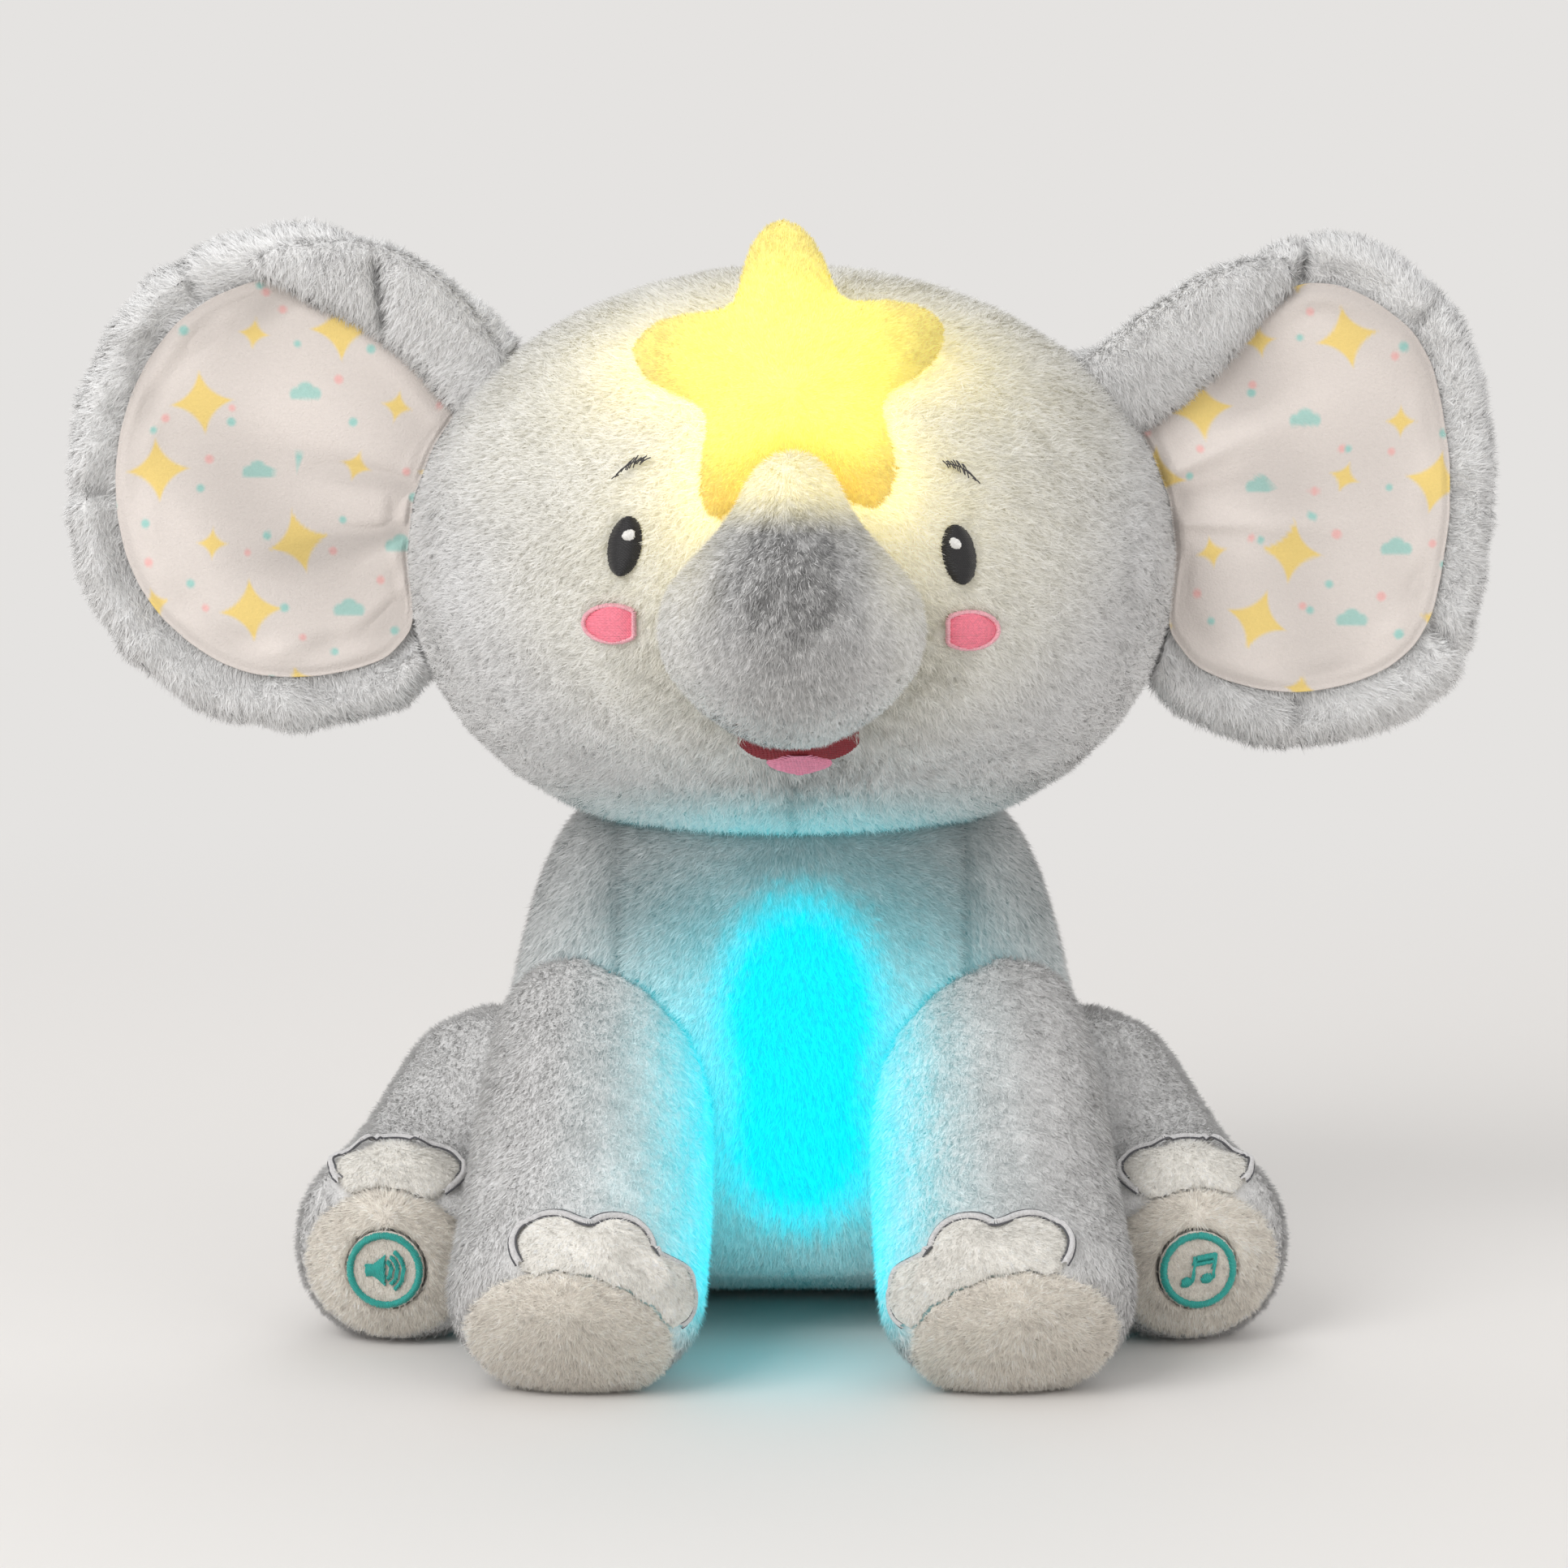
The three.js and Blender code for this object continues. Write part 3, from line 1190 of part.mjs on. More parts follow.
for (const [name, use] of [['left', 'volume'], ['right', 'music']]) {
  const { face, forward } = footButton(hind[name]);
  const wall = housingRadius - housingWall;
  const floor = housingWall - housingDepth;
  const post = housingWall - capDepth - pressTravel - fitGap;
  const housing = turned([[0, -housingDepth], [housingRadius, -housingDepth], [housingRadius, -housingSink],
    [wall, -housingSink], [wall, floor], [postRadius, floor], [postRadius, post], [0, post]], 14);
  const capRadius = wall - capGap;
  const capTop = soleThickness - patchThickness;
  const cap = turned([[0, -capDepth + housingWall], [capRadius - housingWall, -capDepth + housingWall],
    [capRadius - housingWall, -capDepth], [capRadius, -capDepth], [capRadius, capTop], [0, capTop]], 14);
  const patchBase = capTop + fitGap;
  const patch = turned([[0, patchBase], [patchRadius, patchBase], [patchRadius, patchBase + patchThickness],
    [0, patchBase + patchThickness]], 20);
  add(`${use}_housing`, placed(housing, face, forward), whitePlastic);
  add(`${use}_button`, placed(cap, face, forward), whitePlastic);
  add(`${use}_patch`, placed(patch, face, forward), tealThread);
}

add('tail', tail(), plush);
add('rear_flap', backLayer(0, flapInner, flapShape(0)), plush);
add('hook_strip', backLayer(hookOuter, hookOuter - fastenerThickness, hookShape), fastenerTape);
add('loop_strip', backLayer(loopOuter, loopOuter - fastenerThickness, hookShape), fastenerTape);

add('diffuser', diffuser(), frostedPlastic);
add('module_case', moduleCase(), whitePlastic);
add('circuit_board', circuitBoard(), greenBoard);
add('belly_led_upper', led(1), frostedPlastic);
add('belly_led_lower', led(-1), frostedPlastic);
add('speaker', speaker(), speakerBlack);
for (let k = 0; k < cellCount; k++) add(`battery_${k + 1}`, cell(k), cellWrap);
add('contact_plate_left', contactPlate(-1), springSteel);
add('contact_plate_right', contactPlate(1), springSteel);
add('battery_door', batteryDoor(), whitePlastic);
add('door_screw', doorScrew(), springSteel);
add('power_switch', powerSwitch(), speakerBlack);
add('star_lead', leadTube(routes.star, leadRadius), leadSheath);
add('volume_lead', leadTube(routes.left, leadRadius), leadSheath);
add('music_lead', leadTube(routes.right, leadRadius), leadSheath);

export default group;
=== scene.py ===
import math

import bmesh
import bpy
import numpy as np
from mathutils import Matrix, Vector
from mathutils.bvhtree import BVHTree


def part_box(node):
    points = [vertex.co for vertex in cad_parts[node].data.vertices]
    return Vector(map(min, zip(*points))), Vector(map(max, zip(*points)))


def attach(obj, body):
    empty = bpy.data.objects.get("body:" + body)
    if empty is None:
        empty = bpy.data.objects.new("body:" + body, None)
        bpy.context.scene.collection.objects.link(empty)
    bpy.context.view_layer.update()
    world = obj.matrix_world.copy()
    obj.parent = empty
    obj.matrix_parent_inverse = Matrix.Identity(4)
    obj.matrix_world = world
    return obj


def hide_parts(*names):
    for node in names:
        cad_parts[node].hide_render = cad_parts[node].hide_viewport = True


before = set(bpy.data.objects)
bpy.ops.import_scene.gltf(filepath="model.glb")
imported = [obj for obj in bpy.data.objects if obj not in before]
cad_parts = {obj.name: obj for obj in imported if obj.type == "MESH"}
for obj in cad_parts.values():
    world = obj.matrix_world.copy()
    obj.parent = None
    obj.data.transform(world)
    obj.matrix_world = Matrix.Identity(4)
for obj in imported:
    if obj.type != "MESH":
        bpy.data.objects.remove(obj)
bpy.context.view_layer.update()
mm = 0.001
print("frame loaded")


# General helpers for this toy

def fromScreen(r, g, b):
    return tuple((v / 255 / 12.92) if v < 11 else ((v / 255 + 0.055) / 1.055) ** 2.4 for v in (r, g, b))


def pickOnly(piece):
    if bpy.context.object and bpy.context.object.mode != "OBJECT":
        bpy.ops.object.mode_set(mode="OBJECT")
    bpy.ops.object.select_all(action="DESELECT")
    piece.select_set(True)
    bpy.context.view_layer.objects.active = piece


def applyModifiers(piece):
    pickOnly(piece)
    for name in [m.name for m in piece.modifiers]:
        bpy.ops.object.modifier_apply(modifier=name)


def applyPlace(piece):
    pickOnly(piece)
    bpy.ops.object.transform_apply(location=True, rotation=True, scale=True)


def giveMaterial(piece, material):
    piece.data.materials.clear()
    piece.data.materials.append(material)


def between(value, low, high):
    t = np.clip((value - low) / (high - low), 0, 1)
    return t * t * (3 - 2 * t)


# 1 where every offset is nothing, fading as they grow
def bell(*offsets):
    return np.exp(-sum(off ** 2 for off in offsets))


def columns(x, y, z):
    return np.stack(np.broadcast_arrays(x, y, z), axis=1)


def ripple(points, size, seed):
    rng = np.random.default_rng(seed)
    total = np.zeros(len(points))
    for _ in range(9):
        way = rng.normal(size=3)
        way /= np.linalg.norm(way)
        wave = rng.uniform(0.7, 1.5) * size
        total += np.sin(points @ way * (2 * math.pi / wave) + rng.uniform(0, 2 * math.pi))
    return total / 3


def unit(vectors):
    return vectors / np.maximum(np.linalg.norm(vectors, axis=1), 1e-9)[:, None]


# Nodes that the materials share

def nodeMaterial(name):
    material = bpy.data.materials.new(name)
    material.use_nodes = True
    tree = material.node_tree
    return material, tree.nodes, tree.links, tree.nodes["Principled BSDF"]


def giveFinish(shader, finish):
    for socket, value in finish.items():
        shader.inputs[socket].default_value = value


def coordinates(nodes):
    return nodes.new("ShaderNodeTexCoord").outputs["Object"]


def alongAxis(nodes, links, axis):
    split = nodes.new("ShaderNodeSeparateXYZ")
    links.new(coordinates(nodes), split.inputs[0])
    return split.outputs[axis]


def joined(nodes, links, operation, first, second):
    node = nodes.new("ShaderNodeMath")
    node.operation = operation
    links.new(first, node.inputs[0])
    links.new(second, node.inputs[1])
    return node.outputs[0]


def noiseNode(nodes, links, scale, detail=3, roughness=0.5):
    node = nodes.new("ShaderNodeTexNoise")
    giveFinish(node, {"Scale": scale, "Detail": detail, "Roughness": roughness})
    links.new(coordinates(nodes), node.inputs["Vector"])
    return node.outputs["Fac"]


def spread(nodes, links, value, low, high):
    node = nodes.new("ShaderNodeMapRange")
    giveFinish(node, {"To Min": low, "To Max": high})
    links.new(value, node.inputs["Value"])
    return node.outputs["Result"]


def tint(nodes, colour):
    node = nodes.new("ShaderNodeRGB")
    node.outputs[0].default_value = (*colour, 1)
    return node.outputs[0]


def painted(nodes, attribute):
    node = nodes.new("ShaderNodeAttribute")
    node.attribute_name = attribute
    return node.outputs["Color"]


# The colour of a finish, made a little uneven by fine noise
def mottled(nodes, links, shader, colour, scale, detail, low, high):
    node = nodes.new("ShaderNodeVectorMath")
    node.operation = "SCALE"
    links.new(colour, node.inputs[0])
    links.new(spread(nodes, links, noiseNode(nodes, links, scale, detail), low, high), node.inputs["Scale"])
    links.new(node.outputs["Vector"], shader.inputs["Base Color"])


def unevenGloss(nodes, links, shader, scale, low, high):
    links.new(spread(nodes, links, noiseNode(nodes, links, scale), low, high), shader.inputs["Roughness"])


def bumpFrom(nodes, links, height, depth, shader):
    node = nodes.new("ShaderNodeBump")
    node.inputs["Distance"].default_value = depth
    links.new(height, node.inputs["Height"])
    links.new(node.outputs["Normal"], shader.inputs["Normal"])


# Camera, floor and lights
stage = {
    "cameraPlace": (-0.0018, -1.0, 0.232),
    "cameraTilt": 5.7,
    "lens": 93.63,
    "floorColour": fromScreen(232, 229, 226),
    "farColour": fromScreen(229, 227, 225),
    "floorSize": 7,
    "wallHeight": 3,
    "foldAt": 3,
    "foldRadius": 1.2,
    "fade": (0.2, 1.1),
    "lampAim": (0, 0, 0.13),
    "skyStrength": 0.6,
    "lamps": [  # name, place, size, watts
        ("keyLamp", (-0.95, -1.25, 1.2), 1.1, 19),
        ("fillLamp", (1.3, -1.1, 0.8), 1.4, 5),
        ("backLamp", (0.2, 1.2, 1.6), 1.4, 8),
    ],
}

cameraTurn = (math.radians(90 - stage["cameraTilt"]), 0, 0)
bpy.ops.object.camera_add(location=stage["cameraPlace"], rotation=cameraTurn)
camera = bpy.context.object
camera.data.lens = stage["lens"]
camera.data.sensor_width = 36
bpy.context.scene.camera = camera
bpy.context.scene.view_settings.view_transform = "Standard"


def selectEdges(piece, chosen):
    for edge in piece.data.edges:
        edge.select = chosen([piece.data.vertices[v].co for v in edge.vertices])


bpy.ops.mesh.primitive_plane_add(size=stage["floorSize"], location=(0, 0.5, 0))
floor = bpy.context.object
floor.name = "floor"
applyPlace(floor)
bpy.ops.object.mode_set(mode="EDIT")
bpy.ops.mesh.select_mode(type="EDGE")
bpy.ops.mesh.select_all(action="DESELECT")
bpy.ops.object.mode_set(mode="OBJECT")
selectEdges(floor, lambda ends: all(e.y > stage["foldAt"] for e in ends))
bpy.ops.object.mode_set(mode="EDIT")
bpy.ops.mesh.extrude_region_move(TRANSFORM_OT_translate={"value": (0, 0, stage["wallHeight"])})
bpy.ops.mesh.select_all(action="DESELECT")
bpy.ops.object.mode_set(mode="OBJECT")
selectEdges(floor, lambda ends: all(e.y > stage["foldAt"] and e.z < 0.1 for e in ends))
bpy.ops.object.mode_set(mode="EDIT")
bpy.ops.mesh.bevel(offset=stage["foldRadius"], segments=20, profile=0.5)
bpy.ops.object.mode_set(mode="OBJECT")
bpy.ops.object.shade_smooth()

floorPaint, nodes, links, paint = nodeMaterial("palePaper")
giveFinish(paint, {"Base Color": (*stage["floorColour"], 1), "Roughness": 0.9, "Specular IOR Level": 0.1})
# Far behind the toy the paper is seen evenly pale, by what looks at it and not by light on the toy
farPaper = nodes.new("ShaderNodeEmission")
farPaper.inputs["Color"].default_value = (*stage["farColour"], 1)
rays = nodes.new("ShaderNodeLightPath").outputs
looked = joined(nodes, links, "MAXIMUM", rays["Is Camera Ray"], rays["Is Glossy Ray"])
looked = joined(nodes, links, "MAXIMUM", looked, rays["Is Transmission Ray"])
away = nodes.new("ShaderNodeMapRange")
away.interpolation_type = "SMOOTHSTEP"
giveFinish(away, {"From Min": stage["fade"][0], "From Max": stage["fade"][1]})
links.new(alongAxis(nodes, links, "Y"), away.inputs["Value"])
mixed = nodes.new("ShaderNodeMixShader")
links.new(joined(nodes, links, "MULTIPLY", away.outputs["Result"], looked), mixed.inputs["Fac"])
links.new(paint.outputs["BSDF"], mixed.inputs[1])
links.new(farPaper.outputs["Emission"], mixed.inputs[2])
links.new(mixed.outputs["Shader"], nodes["Material Output"].inputs["Surface"])
giveMaterial(floor, floorPaint)

world = bpy.data.worlds.new("softSky")
bpy.context.scene.world = world
world.use_nodes = True
giveFinish(world.node_tree.nodes["Background"], {"Color": (1, 1, 1, 1), "Strength": stage["skyStrength"]})

for lampName, lampPlace, lampSize, lampWatts in stage["lamps"]:
    bpy.ops.object.light_add(type="AREA", location=lampPlace)
    lamp = bpy.context.object
    lamp.name = lampName
    lamp.data.size = lampSize
    lamp.data.energy = lampWatts
    aim = Vector(stage["lampAim"]) - Vector(lampPlace)
    lamp.rotation_euler = aim.to_track_quat("-Z", "Y").to_euler()
print("stage set")


# Materials

def pileMaterial(name, bump=True):
    material, nodes, links, shader = nodeMaterial(name)
    mottled(nodes, links, shader, painted(nodes, "pileColourAndShading"), 900, 2, 0.9, 1.1)
    links.new(painted(nodes, "lampGlow"), shader.inputs["Emission Color"])
    giveFinish(shader, {
        "Emission Strength": 1, "Roughness": 0.9, "Specular IOR Level": 0.15, "Sheen Weight": 0.35,
        "Sheen Roughness": 0.5,
    })
    if bump:
        bumpFrom(nodes, links, noiseNode(nodes, links, 1400, 3, 0.7), 0.0006, shader)
    return material


def threadMaterial(name, colour, roughness=0.42):
    material, nodes, links, shader = nodeMaterial(name)
    mottled(nodes, links, shader, tint(nodes, colour), 1500, 2, 0.72, 1.25)
    giveFinish(shader, {"Roughness": roughness, "Specular IOR Level": 0.5, "Sheen Weight": 0.2})
    twist = nodes.new("ShaderNodeTexWave")
    giveFinish(twist, {"Scale": 900, "Distortion": 2})
    twist.bands_direction = "DIAGONAL"
    links.new(coordinates(nodes), twist.inputs["Vector"])
    bumpFrom(nodes, links, twist.outputs["Fac"], 0.00006, shader)
    return material


def mouldedMaterial(name, colour, roughness, grain=0.00003, spreadBy=0.04):
    material, nodes, links, shader = nodeMaterial(name)
    mottled(nodes, links, shader, tint(nodes, colour), 60, 4, 1 - spreadBy, 1 + spreadBy)
    unevenGloss(nodes, links, shader, 300, roughness - 0.06, roughness + 0.08)
    bumpFrom(nodes, links, noiseNode(nodes, links, 2500, 2), grain, shader)
    return material


def metalMaterial(name, colour, roughness):
    material, nodes, links, shader = nodeMaterial(name)
    mottled(nodes, links, shader, tint(nodes, colour), 500, 4, 0.88, 1.08)
    shader.inputs["Metallic"].default_value = 1
    unevenGloss(nodes, links, shader, 900, roughness - 0.08, roughness + 0.12)
    return material


# Bands along one axis: each starts at its own place, in metres
def bandedMaterial(name, axis, bands):
    material, nodes, links, shader = nodeMaterial(name)
    starts = [start for start, _ in bands]
    place = nodes.new("ShaderNodeMapRange")
    giveFinish(place, {"From Min": starts[0], "From Max": starts[-1]})
    links.new(alongAxis(nodes, links, axis), place.inputs["Value"])
    ramp = nodes.new("ShaderNodeValToRGB")
    ramp.color_ramp.interpolation = "CONSTANT"
    for k, (start, colour) in enumerate(bands):
        share = (start - starts[0]) / (starts[-1] - starts[0])
        stop = ramp.color_ramp.elements[k] if k < 2 else ramp.color_ramp.elements.new(share)
        stop.position = share
        stop.color = (*colour, 1)
    links.new(place.outputs["Result"], ramp.inputs["Fac"])
    mottled(nodes, links, shader, ramp.outputs["Color"], 250, 3, 0.93, 1.05)
    shader.inputs["Roughness"].default_value = 0.32
    return material


plushPile = pileMaterial("greyPlush")
plushBlades = pileMaterial("greyPlushPile", bump=False)
blackThread = threadMaterial("blackThread", fromScreen(26, 24, 26), 0.38)
whiteThread = threadMaterial("whiteThread", fromScreen(238, 236, 232))
pinkThread = threadMaterial("pinkThread", fromScreen(250, 138, 158))
palePinkThread = threadMaterial("palePinkThread", fromScreen(252, 190, 200))
redThread = threadMaterial("redThread", fromScreen(142, 26, 38))
tongueThread = threadMaterial("tongueThread", fromScreen(236, 148, 176))
tealThread = threadMaterial("tealThread", fromScreen(42, 168, 158))
greyThread = threadMaterial("greyThread", fromScreen(214, 212, 212))
# Dark thread laid beside the toe cords as painted shadow
cordShadowThread = threadMaterial("cordShadowThread", fromScreen(84, 84, 88), 0.8)
browThread = threadMaterial("browThread", fromScreen(72, 70, 72), 0.8)
print("first materials made")

# Colours of the plush as they look in plain light, with painted light and shade among them: halo is the star
# lamp's light painted on the plush near it, cyan is the belly lamp's light painted on the plush, and the
# star's low orange is painted shade on its lower part. The Light colours and the star's edge are light given
# off: the lamps' glow through the star and the bib, and painted light beside them
pileLooks = {
    "grey": fromScreen(243, 242, 241),
    "cream": fromScreen(248, 240, 228),
    "pale": fromScreen(250, 246, 238),
    "yellow": fromScreen(250, 234, 140),
    "cyan": fromScreen(10, 156, 172),
    "cyanLight": fromScreen(0, 234, 250),
    "starLight": fromScreen(255, 248, 100),
    "starEdge": fromScreen(255, 232, 120),
    "starLowShade": fromScreen(226, 176, 66),
    "halo": fromScreen(255, 250, 222),
    "haloLight": fromScreen(255, 236, 150),
}


def paintOver(colour, other, amount):
    return colour * (1 - amount[:, None]) + np.array(other)[None, :] * amount[:, None]


def dim(colour, amount):
    colour *= (1 - amount)[:, None]


def shine(glow, light, amount):
    glow += np.array(pileLooks[light])[None, :] * amount[:, None]


# Where the belly's lamp shines through, in metres, and how its light spills beside that, in mm
bellyLamp = {
    "middle": (0.002, 0.0695),
    "reach": (0.0186, 0.0385),
    "waist": 0.28,
    "edge": (0.72, 1.36),
    "spillMiddle": 68,
    "spillReach": (36, 35),
    "glow": 1.1,
    "spillGlow": 1.05,
    "spillPaint": 0.9,
}


def bellyShare(p):
    (x, z), (wide, tall) = bellyLamp["middle"], bellyLamp["reach"]
    u, v = (p[:, 0] - x) / wide, (p[:, 2] - z) / tall
    waist = 1 + bellyLamp["waist"] * bell((v + 0.16) / 0.3)
    edge = np.sqrt((u * waist) ** 2 + np.abs(v) ** 3) + 0.05 * ripple(p, 2.2 * mm, 19)
    return 1 - between(edge, *bellyLamp["edge"])


def bellySpill(p):
    wide, tall = bellyLamp["spillReach"]
    across = (p[:, 0] - bellyLamp["middle"][0]) / (wide * mm)
    return bell(across, (p[:, 2] - bellyLamp["spillMiddle"] * mm) / (tall * mm))


def lightBelly(colour, glow, share, spill, grain=0):
    shine(glow, "cyanLight", (bellyLamp["glow"] * share + bellyLamp["spillGlow"] * spill) * (1 + grain))
    return paintOver(colour, pileLooks["cyan"], np.clip(share + bellyLamp["spillPaint"] * spill, 0, 1))


# The torso is darker in the head's shade, least at its sides
def underHead(p):
    side = between(np.abs(p[:, 0]), 40 * mm, 54 * mm)
    return between(p[:, 2], 80 * mm, 108 * mm) * (0.5 - 0.24 * side) * (p[:, 1] < 40 * mm)


# How near each point is to a CAD node: 1 where they touch, fading over the reach
def nearShare(p, node, reach, fade):
    tree = nodeTree(node)
    away = [tree.find_nearest(place, reach)[3] for place in p]
    away = np.array([reach if d is None else d for d in away])
    return np.exp(-away / fade) * (away < reach) * (1 - between(away, reach * 0.6, reach))


# Stuffed forms: an even, softened skin over a CAD form

def stuffedForm(look):
    piece = bpy.data.objects.new(look["name"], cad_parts[look["node"]].data.copy())
    bpy.context.collection.objects.link(piece)
    piece.data.materials.clear()
    pickOnly(piece)
    bpy.ops.object.mode_set(mode="EDIT")
    bpy.ops.mesh.select_mode(type="VERT")
    bpy.ops.mesh.select_all(action="SELECT")
    bpy.ops.mesh.customdata_custom_splitnormals_clear()
    bpy.ops.mesh.remove_doubles(threshold=0.000002)
    bpy.ops.object.mode_set(mode="OBJECT")
    return piece


def soften(piece, look):
    even = piece.modifiers.new("even", "REMESH")
    even.mode = "VOXEL"
    even.voxel_size = look["voxel"] * mm
    even.use_smooth_shade = True
    soft = piece.modifiers.new("soft", "SMOOTH")
    soft.factor = 0.5
    soft.iterations = look["soften"]
    applyModifiers(piece)
    if look["puff"]:
        co, normals, _ = skinOf(piece)
        writePlaces(piece, co + normals * (look["puff"] * mm))


def skinOf(piece):
    mesh = piece.data
    mesh.calc_loop_triangles()
    co = np.empty(len(mesh.vertices) * 3, np.float32)
    mesh.vertices.foreach_get("co", co)
    normals = np.empty(len(mesh.vertices) * 3, np.float32)
    mesh.vertex_normals.foreach_get("vector", normals)
    triangles = np.empty(len(mesh.loop_triangles) * 3, np.int32)
    mesh.loop_triangles.foreach_get("vertices", triangles)
    return co.reshape(-1, 3).astype(float), normals.reshape(-1, 3).astype(float), triangles.reshape(-1, 3)


def writePlaces(piece, co):
    piece.data.vertices.foreach_set("co", co.astype(np.float32).ravel())
    piece.data.update()


def writeColours(mesh, name, colours):
    layer = mesh.attributes.new(name, "FLOAT_COLOR", "POINT")
    rgba = np.ones((len(mesh.vertices), 4), np.float32)
    rgba[:, :3] = colours
    layer.data.foreach_set("color", rgba.ravel())


# Pile: short blades of plush, rooted on a skin, combed one way and drawn together in small tufts.
# What a piece's own dictionary doesn't say: sizes are in mm, lift is in degrees, the rest are shares
# Painted shade darkens the blades and the skin under them towards the roots, and painted light lightens the
# tips
plainLook = {
    "puff": 0, "against": (), "width": 0.23, "lift": 38, "tuft": 1.8, "clump": 0.34, "driftSize": 22,
    "drift": 0.16, "stray": 0.2, "deep": 0.86, "bright": 1.05, "fleck": 0.13, "grain": 0.1, "rooted": 0.15,
    "liftSpread": 9, "rollSpread": 0.45, "lengths": (0.72, 1.18), "widths": (0.75, 1.25),
}
tipsAbove, rootsAbove = 0.3 * mm, 0.1 * mm  # clear of the floor
skinGlow, rootGlow = 0.6, 0.6  # the light is strongest at the blades' tips
bakeTexel = 0.0012
mostBlades = 185000  # on one piece
pileCount = {"blades": 0}


def looseTriangles(name, points):
    count = len(points) // 3
    mesh = bpy.data.meshes.new(name)
    mesh.vertices.add(count * 3)
    mesh.vertices.foreach_set("co", points.astype(np.float32).ravel())
    mesh.loops.add(count * 3)
    mesh.loops.foreach_set("vertex_index", np.arange(count * 3, dtype=np.int32))
    mesh.polygons.add(count)
    mesh.polygons.foreach_set("loop_start", np.arange(0, count * 3, 3, dtype=np.int32))
    mesh.polygons.foreach_set("loop_total", np.full(count, 3, dtype=np.int32))
    mesh.polygons.foreach_set("use_smooth", np.ones(count, dtype=bool))
    mesh.update(calc_edges=True)
    return mesh


# The map for baking shows a piece from the front and from behind, side by side
def layOut(mesh, roots, normals, box):
    low, high = box
    where = (roots - low) / np.maximum(high - low, 1e-6)
    u = where[:, 0] * 0.48 + np.where(normals[:, 1] > 0, 0.51, 0.01)
    v = where[:, 2] * 0.98 + 0.01
    corners = [(u, v), (u + bakeTexel, v), (u, v + bakeTexel)]
    corners = np.stack([np.stack(corner, 1) for corner in corners], axis=1)
    mesh.uv_layers.new(name="OFBake").data.foreach_set("uv", corners.astype(np.float32).ravel())


def bladesFrom(name, roots, normals, rule, look, rng, box):
    keep, flow, stretch, colour, glow = rule(roots, normals)
    stays = rng.random(len(roots)) < keep
    roots, normals, flow = roots[stays], normals[stays], flow[stays]
    stretch, colour, glow = stretch[stays], colour[stays], glow[stays]
    count = len(roots)
    tuft = look["tuft"] * mm
    sway = np.stack([ripple(roots, tuft, look["seed"] + k) for k in (1, 2, 3)], axis=1)
    drift = np.stack([ripple(roots, look["driftSize"] * mm, look["seed"] + k) for k in (4, 5, 6)], axis=1)
    flow = unit(flow) + drift * look["drift"] + sway * look["clump"]
    flow += rng.normal(scale=look["stray"], size=flow.shape)
    flat = unit(flow - normals * np.sum(flow * normals, axis=1)[:, None])
    lift = np.radians(look["lift"] + rng.normal(scale=look["liftSpread"], size=count))[:, None]
    way = flat * np.cos(lift) + normals * np.sin(lift)
    side = np.cross(way, normals)
    roll = rng.normal(scale=look["rollSpread"], size=count)[:, None]
    side = unit(unit(side) * np.cos(roll) + normals * np.sin(roll))
    length = (look["pile"] * mm * stretch * rng.uniform(*look["lengths"], size=count))[:, None]
    half = (look["width"] * mm / 2 * rng.uniform(*look["widths"], size=count))[:, None]
    base = roots - normals * look["rooted"] * mm
    tips = base + way * length
    tips[:, 2] = np.maximum(tips[:, 2], tipsAbove)
    points = np.stack([base - side * half, base + side * half, tips], axis=1).reshape(-1, 3)
    points[:, 2] = np.maximum(points[:, 2], rootsAbove)
    fleck = 1 + look["fleck"] * ripple(roots, tuft * 0.8, look["seed"] + 9)
    fleck = fleck + rng.normal(scale=look["grain"], size=count)
    # Painted shade at each root and painted light at each tip, over a random fleck
    tone = columns(fleck * look["deep"], fleck * look["deep"], fleck * look["bright"])
    colours = (colour[:, None, :] * tone[:, :, None]).reshape(-1, 3)
    glows = (glow[:, None, :] * np.array([rootGlow, rootGlow, 1.0])[None, :, None]).reshape(-1, 3)
    soft = unit(normals + way * 0.25 + rng.normal(scale=0.12, size=(count, 3)))
    mesh = looseTriangles(name, points)
    writeColours(mesh, "pileColourAndShading", np.clip(colours, 0, 1))
    writeColours(mesh, "lampGlow", np.clip(glows, 0, 4))
    layOut(mesh, roots, normals, box)
    mesh.normals_split_custom_set_from_vertices(np.repeat(soft, 3, axis=0).astype(np.float32))
    piece = bpy.data.objects.new(name, mesh)
    bpy.context.collection.objects.link(piece)
    piece.data.materials.append(plushBlades)
    return piece


